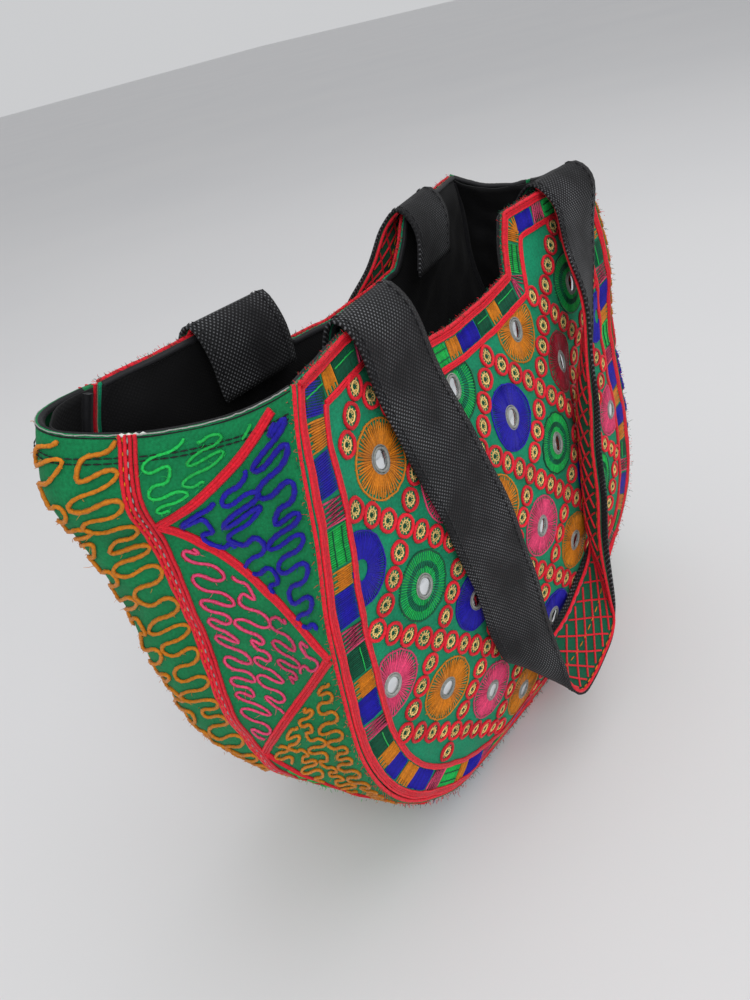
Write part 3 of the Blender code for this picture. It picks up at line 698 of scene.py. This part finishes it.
class Needlework:
    """Thread laid on one piece of cloth, kept by colour until it is all sewn down."""

    def __init__(self, name, lift, slot):
        self.name = name
        self.lift = lift
        self.slot = slot
        self.laid = {}
        self.fluffy = {}
        self.mirrors = []

    def lay(self, colour, flat, thick, rise=0.0, closed=False, ends=1.0, beads=0.0):
        """A thread of this radius along a path of the pattern, plain or with a beaded look."""
        radii = np.full(len(flat), thick)
        radii[1::2] *= 1 + beads
        if not closed:
            radii[[0, -1]] *= ends
        self.laid.setdefault(colour, []).append((np.asarray(flat, float), radii, rise, closed))

    def lay_across(self, colour, starts, ends, thick, rise=0.0):
        """Single stitches, of which the long ones have a middle point to follow the cloth."""
        for start, end in zip(starts, ends):
            middle = [(start + end) / 2] if np.linalg.norm(end - start) > LONG_STITCH else []
            self.lay(colour, [start, *middle, end], thick, rise, ends=0.55)

    def sew(self):
        """Makes one mesh for each colour of thread."""
        made = []
        for colour, paths in self.laid.items():
            flats = np.concatenate([flat for flat, _, _, _ in paths])
            rises = np.concatenate([radii.max() * 0.6 + rise + 0 * radii for _, radii, rise, _ in paths])
            points = self.lift(flats, rises)
            radii = np.concatenate([radii for _, radii, _, _ in paths])
            points[:, 2] = np.maximum(points[:, 2], radii)
            made.append(self.corded(f"{self.name}_{colour}_thread", colour, paths, points))
        if self.mirrors:
            made.append(self.silvered())
        for colour, spots in self.fluffy.items():
            flats = np.concatenate(spots)
            roots = self.lift(flats, np.full(len(flats), 0.8 * MM))
            outward = (self.lift(flats, np.full(len(flats), 1.8 * MM)) - roots) / MM
            made += fuzz(f"{self.name}_fluff", self.slot, (colour,), roots, outward, 1.6 * MM, 1)
        return made

    def corded(self, name, colour, paths, points):
        curve = bpy.data.curves.new(name, "CURVE")
        curve.dimensions = "3D"
        curve.bevel_depth = MM
        curve.bevel_resolution = 0
        curve.use_fill_caps = True
        at = 0
        for _, radii, _, closed in paths:
            count = len(radii)
            spline = curve.splines.new("POLY")
            spline.points.add(count - 1)
            places = np.ones((count, 4))
            places[:, :3] = points[at:at + count]
            spline.points.foreach_set("co", places.ravel())
            spline.points.foreach_set("radius", radii / MM)
            spline.use_cyclic_u = closed
            at += count
        return meshed(curve, name, THREADS[colour], self.slot)

    def silvered(self):
        """The small mirrors of this piece, each a shallow dome with a turned-down edge."""
        mesh = bmesh.new()
        for centre in self.mirrors:
            turn = Matrix.Translation((*centre, 0)) @ Matrix.Diagonal((0.92, 1.08, 1, 1))
            bmesh.ops.create_circle(mesh, cap_ends=True, segments=14, radius=MIRROR_RADIUS, matrix=turn)
        edge = {vert for vert in mesh.verts}
        bmesh.ops.inset_individual(mesh, faces=list(mesh.faces), thickness=0.8 * MM)
        flat = np.array([tuple(v.co.xy) for v in mesh.verts])
        rises = np.array([0.3 * MM if vert in edge else 0.9 * MM for vert in mesh.verts])
        for vert, place in zip(mesh.verts, self.lift(flat, rises)):
            vert.co = place
        mesh.normal_update()
        made = bpy.data.meshes.new(f"{self.name}_mirrors")
        mesh.to_mesh(made)
        mesh.free()
        return placed(f"{self.name}_mirrors", made, MIRROR, self.slot)


def meshed(curve, name, finish, slot):
    """The curve as a mesh piece."""
    laid = bpy.data.objects.new(f"{name}_curve", curve)
    bpy.context.scene.collection.objects.link(laid)
    mesh = bpy.data.meshes.new_from_object(laid.evaluated_get(bpy.context.evaluated_depsgraph_get()))
    mesh.name = name
    bpy.data.objects.remove(laid, do_unlink=True)
    return placed(name, mesh, finish, slot)


# Embroidery of the panels

def ring(centre, radius, count, wobble=0.0):
    turns = np.linspace(0, 2 * math.pi, count, endpoint=False)
    reach = radius + chance.normal(0, wobble, count) if wobble else np.full(count, radius)
    return centre + np.stack([np.cos(turns), np.sin(turns)], 1) * reach[:, None]


def pulled_in(points, centre, kept):
    """Each point moved towards the centre until it lies inside the outline."""
    points = points.copy()
    for _ in range(24):
        out = ~inside(points, kept)
        if not out.any():
            break
        points[out] += (centre - points[out]) * 0.06
    return points


def radial(work, colour, centre, near, far, count, thick, kept, rise=0.0, ragged=0.3 * MM):
    """Stitches set like the spokes of a wheel."""
    turns = np.linspace(0, 2 * math.pi, count, endpoint=False) + chance.normal(0, 0.25 / count, count)
    spokes = np.stack([np.cos(turns), np.sin(turns)], 1)
    starts = centre + spokes * near
    ends = centre + spokes * (far + chance.normal(0, ragged, count))[:, None]
    ends = pulled_in(ends, centre, kept)
    whole = inside(starts, kept) & (np.linalg.norm(ends - starts, axis=1) > 1.2 * MM)
    whole &= ((ends - starts) * spokes).sum(axis=1) > 0
    work.lay_across(colour, starts[whole], ends[whole], thick, rise)


def medallion_kind(row, column):
    if row % 2 == 0:
        return "blue" if column % 2 else "green"
    if row == -1 and column == 2:
        return "crimson"
    return "gold" if column % 2 else "pink"


def medallion(work, centre, kind, kept):
    """A wheel of satin stitches round a small mirror."""
    full = MEDALLION_RADIUS
    if kind == "green":
        radial(work, "bright_green", centre, 0.70 * full, full, 70, 0.60 * MM, kept)
        radial(work, "dark_green", centre, 0.52 * full, 0.70 * full, 54, 0.55 * MM, kept)
        radial(work, "bright_green", centre, 0.32 * full, 0.53 * full, 40, 0.55 * MM, kept)
        rim_colour = "dark_green"
    elif kind == "blue":
        radial(work, "blue", centre, 0.30 * full, 0.99 * full, 88, 0.62 * MM, kept)
        rim_colour = "blue"
    else:
        radial(work, kind, centre, 0.34 * full, 0.90 * full, 60, 0.62 * MM, kept)
        radial(work, kind, centre, 0.80 * full, 1.01 * full, 46, 0.50 * MM, kept, 0.2 * MM)
        rim_colour = kind
    edge = pulled_in(ring(centre, 0.985 * full, 40, 0.2 * MM), centre, kept)
    work.lay(rim_colour, edge, 0.55 * MM, closed=True)
    if inside(ring(centre, MIRROR_RADIUS, 12), kept).all():
        work.mirrors.append(centre)
        for radius, thick in ((1.08, 0.75), (1.32, 0.45)):
            path = ring(centre, radius * MIRROR_RADIUS, 18) - centre
            work.lay("grey", centre + path * (0.94, 1.08), thick * MM, 0.3 * MM, closed=True)


def coin(work, centre, kept):
    """A cream eyelet in a red ring."""
    work.lay("red", ring(centre, COIN_RADIUS, 14, 0.12 * MM), 1.0 * MM, closed=True)
    radial(work, "cream", centre, 1.3 * MM, 4.0 * MM, 11, 0.5 * MM, kept, 0.0, 0.25 * MM)
    work.lay("cream", ring(centre, 2.6 * MM, 9, 0.2 * MM), 0.4 * MM, 0.4 * MM, closed=True)
    work.lay("dark_green", ring(centre, 0.7 * MM, 5), 0.5 * MM, closed=True)


def lattice(work):
    """Chains of coins along the diamonds, and a medallion in the middle of each diamond."""
    half = DIAMOND / math.sqrt(2)
    kept = whole(border_line(2, 1, 0.3 * MM), 6 * MM)
    places = []
    for row in range(-LATTICE_REACH, LATTICE_REACH):
        for column in range(-LATTICE_REACH, LATTICE_REACH):
            node = np.array([(column - row - 1) * half, LATTICE_TOP - (row + column) * half])
            for way in (1, -1):
                step = np.array([way * half, -half]) / COINS_PER_SIDE
                first = 0 if way == 1 else 1
                places += [node + step * k for k in range(first, COINS_PER_SIDE)]
            centre = node - np.array([0, half])
            if inside(ring(centre, 0.7 * MEDALLION_RADIUS, 16), kept).sum() >= 6:
                medallion(work, centre, medallion_kind(row, column), kept)
    room = whole(border_line(2, 1, 2.4 * MM), 6 * MM)
    places = np.array(places)
    for centre in places[inside(places, room)]:
        coin(work, centre, kept)


SEAM_BRICKS = [
    ("blue", 15), ("gold", 14), ("blue", 19), ("pink", 13), ("green", 19), ("gold", 11), ("blue", 19),
    ("pink", 13), ("dark", 16), ("gold", 12), ("blue", 17), ("pink", 11), ("dark", 14), ("gold", 12),
]
RIM_BRICKS = [
    ("dark", 15), ("gold", 10), ("dark", 20), ("pink", 12), ("green", 17), ("gold", 11),
    ("blue", 17), ("pink", 12), ("green", 16), ("gold", 11), ("blue", 20),
]


def bricks(work, path, kinds, band):
    """Blocks of stitches laid across a band, one colour after another along the path."""
    path = np.vstack([path[:1] * 2 - path[4:5], path, path[-1:] * 2 - path[-5:-4]])
    lengths = lengths_along(path)
    ahead = np.gradient(path, axis=0)
    ahead /= np.linalg.norm(ahead, axis=1)[:, None]
    start = 0.0
    block = 0
    while start < lengths[-1] - 4 * MM:
        kind, length = kinds[block % len(kinds)]
        end = min(start + length * MM, lengths[-1])
        at = np.arange(start + 0.6 * MM, end - 0.8 * MM, 1.05 * MM)
        middle = np.stack([np.interp(at, lengths, path[:, k]) for k in (0, 1)], 1)
        along = np.stack([np.interp(at, lengths, ahead[:, k]) for k in (0, 1)], 1)
        across = np.stack([-along[:, 1], along[:, 0]], 1)
        reach = np.full(len(at), 0.46 * band) + chance.normal(0, 0.15 * MM, len(at))
        brick(work, kind, middle, across, reach)
        start = end
        block += 1


def brick(work, kind, middle, across, reach):
    starts = middle - across * reach[:, None]
    ends = middle + across * reach[:, None]
    if kind == "pink":
        zigzag = np.where((np.arange(len(middle)) % 2 == 0)[:, None], starts, ends)
        work.lay("pink", zigzag, 0.55 * MM)
        work.lay("pink", zigzag * 0.999 + middle * 0.001 + across * 0.5 * MM, 0.45 * MM, 0.3 * MM)
    elif kind == "gold":
        ragged = np.where(np.arange(len(middle)) % 3 == 1, 0.55, 1.0)[:, None]
        work.lay_across("gold", middle + (starts - middle) * ragged, ends, 0.62 * MM)
    elif kind == "green":
        work.lay_across("bright_green", starts, ends, 0.62 * MM)
        for share in (-0.5, 0.45):
            line = middle + across * (reach * share)[:, None]
            work.lay("dark_green", line, 0.35 * MM, 0.75 * MM)
    elif kind == "dark":
        work.lay_across("dark_green", starts, ends, 0.62 * MM)
        work.lay("bright_green", middle + across * (0.35 * reach)[:, None], 0.35 * MM, 0.7 * MM)
    else:
        work.lay_across("blue", starts, ends, 0.62 * MM)


def red_cords(work, path, offsets, thick, colour="red"):
    """Parallel cords beside a path."""
    ahead = np.gradient(path, axis=0)
    ahead /= np.linalg.norm(ahead, axis=1)[:, None]
    across = np.stack([-ahead[:, 1], ahead[:, 0]], 1)
    for offset in offsets:
        wobble = chance.normal(0, 0.08 * MM, len(path))[:, None]
        work.lay(colour, path + across * (offset + wobble), thick)


def dashes(work, colour, path, dash, gap, thick, rise=0.0):
    """A line of running stitches."""
    lengths = lengths_along(path)
    for start in np.arange(1 * MM, lengths[-1] - dash, dash + gap):
        at = np.array([start, start + dash / 2, start + dash])
        points = np.stack([np.interp(at, lengths, path[:, k]) for k in (0, 1)], 1)
        work.lay(colour, points, thick, rise, ends=0.5)


def panel_needlework(name, side):
    """All the thread and mirrors of one panel."""
    work = Needlework(name, panel_lift(side), "embroidered_cloth")
    lattice(work)
    bricks(work, seam_part(border_line(1, 0.5), 1.5 * MM)[::-1], SEAM_BRICKS, SEAM_BAND)
    bricks(work, rim_part(border_line(1, 0.5), 1.5 * MM), RIM_BRICKS, RIM_BAND)
    for reds, bands in ((0.5, 0), (1.5, 1)):
        for part in (seam_part, rim_part):
            red_cords(work, part(border_line(reds, bands), 3 * MM), (-1.0 * MM, 0.0, 1.0 * MM), 0.75 * MM)
    red_cords(work, seam_part(moved_in(0.6 * MM, 0.6 * MM), 3 * MM), (0.0,), 0.8 * MM)
    red_cords(work, rim_part(moved_in(0.2 * MM, 0.2 * MM), 3 * MM), (0.0,), 1.2 * MM)
    work.lay("black", rim_part(moved_in(1.2 * MM, 1.2 * MM), 3 * MM), 2.0 * MM, -CLOTH - 1.6 * MM)
    return work


# Embroidery of the gusset

def zigzag_turns(low, high):
    """Corners of the red zigzag on the front strip, from the left end of the rim to the right end."""
    turns = [(4.8 * MM, FIRST_TURN)] + [(d * MM, side) for d, side in ZIGZAG]
    turns += [(SEAM_LENGTH - d, side) for d, side in reversed(turns[:-1])]
    span = high - low - TURN_AT_SEAM - TURN_AT_MIDDLE
    return [np.array([d, low + TURN_AT_SEAM + span * side]) for d, side in turns]


def reach_at(outline, along):
    """Lowest and highest place of the outline at each distance along."""
    low = np.full(len(along), np.inf)
    high = np.full(len(along), -np.inf)
    for (x0, y0), (x1, y1) in zip(outline, np.roll(outline, -1, axis=0)):
        share = (along - x0) / (x1 - x0) if x1 != x0 else np.full(len(along), -1.0)
        crossed = (share >= 0) & (share <= 1)
        at = y0 + (y1 - y0) * share
        low = np.where(crossed, np.minimum(low, at), low)
        high = np.where(crossed, np.maximum(high, at), high)
    return low, high


def meanders(work, colour, corners, thick, scale, shear, seed):
    """Rows of winding couched cord that fill a field of the pattern.

    Each row swings between two wavy edges that it shares with its neighbours, so the rows stay apart,
    and its bends shrink where a side of the field comes near.
    """
    outline = inset(corners, MEANDER_MARGIN)
    kept = inset(corners, MEANDER_KEPT)
    low = outline.min(axis=0)
    high = outline.max(axis=0)
    rows = max(1, round((high[1] - low[1]) / (scale * MEANDER_ROW)))
    waves = (high[0] - low[0] + 2 * MEANDER_ROW) / (scale * MEANDER_WAVE)
    phase = np.arange(0, waves, 1 / POINTS_PER_WAVE) * 2 * math.pi
    advance = low[0] - MEANDER_ROW + scale * MEANDER_WAVE * (phase / (2 * math.pi) + 0.12 * np.sin(2 * phase))
    swing = -(1.156 * np.cos(phase) + 0.057 * np.cos(3 * phase)) / 1.213

    def edge(row, along):
        wave = 2.6 * np.sin(along * 2 * math.pi / (39 * MM) + 2.3 * row + seed)
        wave = wave + 1.5 * np.sin(along * 2 * math.pi / (22 * MM) + 1.1 * row + 2 * seed)
        held = row in (0, rows)
        return low[1] + (high[1] - low[1]) * row / rows + (0 if held else scale * MM) * wave

    for row in range(rows):
        along = advance + 1.7 * MM * np.sin(advance * 2 * math.pi / (47 * MM) + seed + 1.9 * row)
        floor, ceiling = reach_at(outline, along)
        bottom = np.maximum(edge(row, along) + (MEANDER_GAP if row else 0), floor)
        top = np.minimum(edge(row + 1, along) - (MEANDER_GAP if row + 1 < rows else 0), ceiling)
        room = np.isfinite(top - bottom) & (top - bottom > MEANDER_LEAST)
        top = np.where(room, top, high[1])
        bottom = np.where(room, bottom, low[1])
        over = (top + bottom) / 2 + (top - bottom) / 2 * swing
        path = np.stack([along + shear * (over - (top + bottom) / 2), over], 1)
        within = room & inside(path, kept)
        ends = np.flatnonzero(np.diff(np.concatenate([[0], within.astype(int), [0]])))
        for first, last in zip(ends[::2], ends[1::2]):
            if last - first > 4:
                couch(work, colour, path[first:last], thick)


def couch(work, colour, path, thick):
    """One length of winding cord with its loose fibres, and a darker thread beside a pink one."""
    work.lay(colour, path, thick, ends=0.8, beads=0.25)
    work.fluffy.setdefault(colour, []).append(path[::3])
    if colour == "pink":
        work.lay("crimson", path + np.array([0.4, 0.8]) * MM, 0.6 * thick, beads=0.3)


def clockwise(corners):
    corners = np.array(corners)
    x, y = corners.T
    area = (x * np.roll(y, -1) - y * np.roll(x, -1)).sum()
    return corners[::-1] if area > 0 else corners


def front_strip_needlework(low, high):
    """Red zigzag lines with a winding cord of another colour in each triangle."""
    work = Needlework("front_gusset_strip", gusset_lift(), "embroidered_cloth")
    turns = zigzag_turns(low, high)
    for start, end in zip(turns, turns[1:]):
        path = resampled([start, end], 4 * MM)
        red_cords(work, path, (-1.5 * MM, 0.0, 1.5 * MM), 0.95 * MM)
    colours = [
        ("bright_green", 0.65, 0.85, 0.3),
        ("blue", 1.1, 1.05, 0.55),
        ("pink", 0.7, 0.95, -0.5),
        ("gold", 0.85, 0.9, 0.5),
    ]
    first = [(0.0, high), turns[0], turns[1]]
    last = [turns[-2], turns[-1], (SEAM_LENGTH, high)]
    second = [(0.0, low), turns[0], turns[1], turns[2]]
    next_to_last = [turns[-3], turns[-2], turns[-1], (SEAM_LENGTH, low)]
    between = [turns[k - 1:k + 2] for k in range(2, len(turns) - 2)]
    fields = [first, second, *between, next_to_last, last]
    for k, corners in enumerate(fields):
        colour, thick, scale, shear = colours[k % len(colours)]
        meanders(work, colour, clockwise(corners), thick * MM, scale, shear, 1.3 * k)
    along = np.arange(0, SEAM_LENGTH, 3 * MM)
    red_cords(work, np.stack([along, np.full(len(along), high - 1.7 * MM)], 1), (-0.9 * MM, 0.9 * MM), 0.9 * MM)
    seam_piping(work, 0.0)
    rim_stitching(work, low, high)
    for shift in (-7, -4.5, -2, 0.5):
        frayed = [(0.5 * MM, high + shift * MM), (-1.2 * MM, high + (shift + 1.5) * MM), (0.4 * MM, high + (shift + 3) * MM)]
        work.lay("white", frayed, 0.8 * MM, -1.0 * MM, ends=0.4)
    return work


def back_strip_needlework(low, high):
    """Winding gold cord all over the back strip."""
    work = Needlework("back_gusset_strip", gusset_lift(), "embroidered_cloth")
    corners = [(0, low), (0, high), (SEAM_LENGTH, high), (SEAM_LENGTH, low)]
    meanders(work, "gold", clockwise(corners), 0.95 * MM, 1.25, 0.35, 0.4)
    along = np.arange(0, SEAM_LENGTH, 3 * MM)
    line = np.stack([along, np.full(len(along), low + 1.7 * MM)], 1)
    red_cords(work, line, (-0.9 * MM, 0.9 * MM), 0.9 * MM)
    dashes(work, "grey", line - (0, 1.8 * MM), 2.4 * MM, 2.6 * MM, 0.45 * MM, 0.7 * MM)
    dashes(work, "gold", line, 1.6 * MM, 4.4 * MM, 0.4 * MM, 0.7 * MM)
    red_cords(work, np.stack([along, np.full(len(along), high - 1.6 * MM)], 1), (-0.9 * MM, 0.9 * MM), 0.9 * MM)
    seam_piping(work, GUSSET_WIDTH)
    rim_stitching(work, low, high)
    return work


def seam_piping(work, over):
    """The red cord that fills the seam between the gusset and a panel."""
    along = np.arange(0, SEAM_LENGTH, 2.5 * MM)
    line = np.stack([along, np.full(len(along), over)], 1)
    work.lay("red", line, 1.3 * MM, -2.4 * MM)


def rim_stitching(work, low, high):
    """Two rows of black topstitching below the folded rim, and the white thread along its edge."""
    over = np.arange(low + 1 * MM, high - 1 * MM, 2 * MM)
    for end in (0, 1):
        for place in (9.5 * MM, 11.4 * MM):
            at = place if end == 0 else SEAM_LENGTH - place
            line = np.stack([np.full(len(over), at), over], 1)
            dashes(work, "black", line, 3.2 * MM, 0.5 * MM, 0.42 * MM, 0.3 * MM)
        at = 0.3 * MM if end == 0 else SEAM_LENGTH - 0.3 * MM
        wobble = chance.normal(0, 0.12 * MM, len(over))
        work.lay("grey", np.stack([at + wobble, over], 1), 0.3 * MM)
        at += 0.8 * MM * (1 - 2 * end)
        work.lay("black", np.stack([np.full(len(over), at), over], 1), 1.9 * MM, -CLOTH - 0.7 * MM)


# Straps

def strap_needlework(name, place):
    """Red lattice, running stitches and edge cord on the green face of a strap."""
    lift = strap_lift(place)

    def face_lift(flat, rise):
        return lift(flat, -STRAP_FACE - rise)

    work = Needlework(name, face_lift, "strap_face")
    half = STRAP_WIDTH / 2 - STRAP_HEM
    inner = half - 4 * MM
    cell = 13 * MM
    for start in np.arange(-2 * inner, STRAP_LENGTH, cell):
        for way in (1, -1):
            path = resampled([(start, -inner * way), (start + 2 * inner, inner * way)], 3 * MM)
            path = path[(path[:, 0] > STRAP_ROOT) & (path[:, 0] < STRAP_LENGTH - STRAP_ROOT)]
            if len(path) > 2:
                work.lay("red", path, 0.7 * MM)
    along = np.arange(STRAP_ROOT, STRAP_LENGTH - STRAP_ROOT, 3 * MM)
    for over, colour in ((-half + 2 * MM, "pink"), (0.0, "gold"), (half - 2 * MM, "gold")):
        dashes(work, colour, np.stack([along, np.full(len(along), over)], 1), 4 * MM, 2.4 * MM, 0.5 * MM, 0.3 * MM)
    for over in (-half + 0.6 * MM, half - 0.6 * MM):
        red_cords(work, np.stack([along, np.full(len(along), over)], 1), (0.0,), 1.1 * MM)
        for start in (2 * MM, STRAP_LENGTH - STRAP_ROOT):
            root = np.arange(start, start + STRAP_ROOT - 2 * MM, 3 * MM)
            work.lay("black", np.stack([root, np.full(len(root), over)], 1), 1.1 * MM)
    return work


def strap_stitching(name, place):
    """Black topstitching along both edges of the strap's backing."""
    lift = strap_lift(place)

    def backing_lift(flat, rise):
        return lift(flat, STRAP_BACKING + rise)

    work = Needlework(name, backing_lift, "strap_backing")
    along = np.arange(2 * MM, STRAP_LENGTH - 2 * MM, 3 * MM)
    for over in (-STRAP_WIDTH / 2 + 4 * MM, STRAP_WIDTH / 2 - 4 * MM):
        line = np.stack([along, np.full(len(along), over)], 1)
        dashes(work, "black", line, 3.6 * MM, 1.4 * MM, 0.4 * MM)
    return work


# Loose thread ends

def fuzz(name, slot, colours, roots, outward, length, per_root):
    """Short fine thread ends that stand out from an edge, one piece for each colour."""
    made = []
    for colour in colours:
        curve = bpy.data.curves.new(name, "CURVE")
        curve.dimensions = "3D"
        curve.bevel_depth = MM
        curve.bevel_resolution = 0
        for root, out in zip(roots, outward):
            for _ in range(per_root):
                reach = length * chance.uniform(0.4, 1.2)
                lean = chance.normal(0, 0.55, 3)
                bend = chance.normal(0, 0.35, 3)
                start = root + chance.normal(0, 0.8 * MM, 3)
                middle = start + (out + lean) * reach * 0.5
                end = middle + (out * 0.6 + lean + bend) * reach * 0.5
                spline = curve.splines.new("POLY")
                spline.points.add(2)
                places = np.ones((3, 4))
                places[:, :3] = (start, middle, end)
                places[:, 2] = np.maximum(places[:, 2], 0.5 * MM)
                spline.points.foreach_set("co", places.ravel())
                spline.points.foreach_set("radius", (0.14, 0.12, 0.05))
        made.append(meshed(curve, f"{name}_{colour}", THREADS[colour], slot))
    return made


def rim_fuzz(name, side):
    """Loose ends along the rim and notch of a panel."""
    lift = panel_lift(side)
    line = rim_part(moved_in(0.0, 0.0), 2.2 * MM)
    beyond = rim_part(moved_in(-MM, -MM), 2.2 * MM)
    count = min(len(line), len(beyond))
    roots = lift(line[:count], np.zeros(count))
    outward = lift(beyond[:count], np.zeros(count)) - roots
    outward /= np.linalg.norm(outward, axis=1)[:, None]
    return fuzz(name, "embroidered_cloth", ("red", "dark_green"), roots, outward, 1.3 * MM, 6)


def seam_fuzz(name, over):
    """Loose ends along a seam of the gusset."""
    lift = gusset_lift()
    along = np.arange(3 * MM, SEAM_LENGTH - 3 * MM, 2.5 * MM)
    line = np.stack([along, np.full(len(along), over)], 1)
    roots = lift(line, np.zeros(len(along)))
    outward = lift(line, np.full(len(along), MM)) - roots
    outward /= np.linalg.norm(outward, axis=1)[:, None]
    return fuzz(name, "embroidered_cloth", ("red", "dark_green"), roots, outward, 1.5 * MM, 2)


# Stage

def set_stage():
    """A pale floor, soft light and the camera."""
    floor = bmesh.new()
    bmesh.ops.create_grid(floor, x_segments=2, y_segments=2, size=20)
    mesh = bpy.data.meshes.new("floor")
    floor.to_mesh(mesh)
    floor.free()
    mesh.materials.append(floor_finish())
    obj = bpy.data.objects.new("floor", mesh)
    bpy.context.scene.collection.objects.link(obj)

    world = bpy.data.worlds.new("room")
    world.use_nodes = True
    sky = world.node_tree.nodes["Background"]
    sky.inputs["Color"].default_value = (0.97, 0.98, 1.0, 1)
    sky.inputs["Strength"].default_value = 0.62
    bpy.context.scene.world = world

    for name, place, size, power in (
        ("window", (-1.2, -1.5, 1.9), 1.6, 26.0),
        ("ceiling", (0.6, -0.3, 2.2), 2.0, 14.0),
    ):
        lamp = bpy.data.lights.new(name, "AREA")
        lamp.size = size
        lamp.energy = power
        light = bpy.data.objects.new(name, lamp)
        light.location = place
        aim = -light.location
        light.rotation_euler = aim.to_track_quat("-Z", "Y").to_euler()
        bpy.context.scene.collection.objects.link(light)

    lens = bpy.data.cameras.new("camera")
    lens.sensor_fit = "VERTICAL"
    lens.sensor_height = 36
    lens.lens = 28.08
    lens.clip_start = 0.01
    camera = bpy.data.objects.new("camera", lens)
    camera.location = (PANELS_FROM_MIDDLE - 0.3219, -0.2658, 0.4269)
    camera.rotation_euler = (1.00139, 0.21124, -0.91652)
    bpy.context.scene.collection.objects.link(camera)
    bpy.context.scene.camera = camera
    bpy.context.scene.view_settings.view_transform = "Standard"


# The bag

THREADS = {colour: thread_finish(colour) for colour in THREAD_COLOURS}
MIRROR = mirror_finish()
PANEL_GREEN = cloth_finish("panel_green_cloth", (0.004, 0.26, 0.125), 0.9 * MM)
GUSSET_GREEN = cloth_finish("gusset_green_cloth", (0.005, 0.21, 0.07), 0.9 * MM)
STRAP_GREEN = cloth_finish("strap_green_cloth", (0.003, 0.105, 0.05), 0.9 * MM)
# The second colour of each non-woven finish is a painted sheen highlight on its dots
LINING_BLACK = non_woven_finish("lining_black", (0.0035, 0.0035, 0.004), (0.012, 0.012, 0.014), 1.9 * MM, 0.3)
STRAP_BLACK = non_woven_finish("strap_black", (0.005, 0.005, 0.006), (0.17, 0.175, 0.185), 2.5 * MM, 0.7)


def make_panels():
    for name, side in (("front_panel", -1), ("back_panel", 1)):
        flat = whole(moved_in(0.0, 0.0), 4 * MM)
        cloth = cloth_piece(
            name, flat_outline(flat[::-1], PANEL_GRID), panel_lift(side), -CLOTH / 2, CLOTH,
            PANEL_GREEN, "embroidered_cloth",
        )
        sewn = panel_needlework(name, side).sew() + rim_fuzz(f"{name}_rim_fuzz", side)


def make_gusset():
    middle = GUSSET_WIDTH / 2
    for name, low, high, needlework, seam in (
        ("front_gusset_strip", 0.0, middle - GUSSET_CLEARANCE, front_strip_needlework, 0.0),
        ("back_gusset_strip", middle + GUSSET_CLEARANCE, GUSSET_WIDTH, back_strip_needlework, GUSSET_WIDTH),
    ):
        flat = flat_grid((0.0, low), (SEAM_LENGTH, high), GUSSET_GRID)
        cloth = cloth_piece(name, flat, gusset_lift(), -CLOTH / 2, CLOTH, GUSSET_GREEN, "embroidered_cloth")
        sewn = needlework(low, high).sew() + seam_fuzz(f"{name}_fuzz", seam)


def make_linings():
    for name, side in (("front_lining", -1), ("back_lining", 1)):
        flat = whole(moved_in(LINING_MARGIN, LINING_MARGIN), 5 * MM)
        lift = lining_lift(panel_lift(side, ()), lambda points: distance_to(flat, points))
        rise = -CLOTH - LINING_SET_BACK
        lining = cloth_piece(name, flat_outline(flat[::-1], 5 * MM), lift, rise, LINING, LINING_BLACK, "lining")
    flat = flat_grid((0.5 * MM, 1 * MM), (SEAM_LENGTH - 0.5 * MM, GUSSET_WIDTH - 1 * MM), 4 * MM)
    lift = lining_lift(gusset_lift(()), lambda points: np.minimum(points[:, 1], GUSSET_WIDTH - points[:, 1]))
    rise = -CLOTH - LINING_SET_BACK
    lining = cloth_piece("gusset_lining", flat, lift, rise, LINING, LINING_BLACK, "lining")
    bound = seam_binding().sew()


def lining_lift(cloth_lift, from_edge):
    """A lift for a lining that is tight at its edges and hangs in soft creases further in."""

    def lift(flat, rise):
        loose = eased([(0, 0), (LINING_TIGHT, 1)], from_edge(flat))
        hang = creased(LINING_CREASES, flat[:, 0], flat[:, 1], 0.5) - LINING_CREASE_DEPTH
        return cloth_lift(flat, rise + loose * hang)

    return lift


def distance_to(outline, points):
    """Distance from each point to the closed outline."""
    nearest = np.full(len(points), np.inf)
    for start, end in zip(outline, np.roll(outline, -1, axis=0)):
        run = end - start
        share = np.clip((points - start) @ run / (run @ run), 0, 1)
        nearest = np.minimum(nearest, np.linalg.norm(points - start - share[:, None] * run, axis=1))
    return nearest


def seam_binding():
    """Black tape rolled over the seams inside the bag."""
    work = Needlework("gusset_lining", gusset_lift(()), "lining")
    along = np.arange(1 * MM, SEAM_LENGTH - 1 * MM, 4 * MM)
    for over in (3.2 * MM, GUSSET_WIDTH - 3.2 * MM):
        work.lay("black", np.stack([along, np.full(len(along), over)], 1), 2.6 * MM, -6.2 * MM)
    return work


def make_straps():
    for name, place in (("front_handle", on_front), ("back_handle", behind)):
        lift = strap_lift(place)
        for layer, half, rise, thick, finish, slot, work in (
            ("backing", STRAP_WIDTH / 2, STRAP_BACKING / 2, STRAP_BACKING, STRAP_BLACK, "strap_backing",
             strap_stitching(f"{name}_backing", place)),
            ("face", STRAP_WIDTH / 2 - STRAP_HEM, -STRAP_FACE / 2, STRAP_FACE, STRAP_GREEN, "strap_face",
             strap_needlework(f"{name}_face", place)),
        ):
            flat = flat_grid((0.0, -half), (STRAP_LENGTH, half), STRAP_GRID)
            node = f"{name}_{layer}"
            cloth = cloth_piece(node, flat, lift, rise, thick, finish, slot)
            work.sew()


make_panels()
make_gusset()
make_linings()
make_straps()
set_stage()
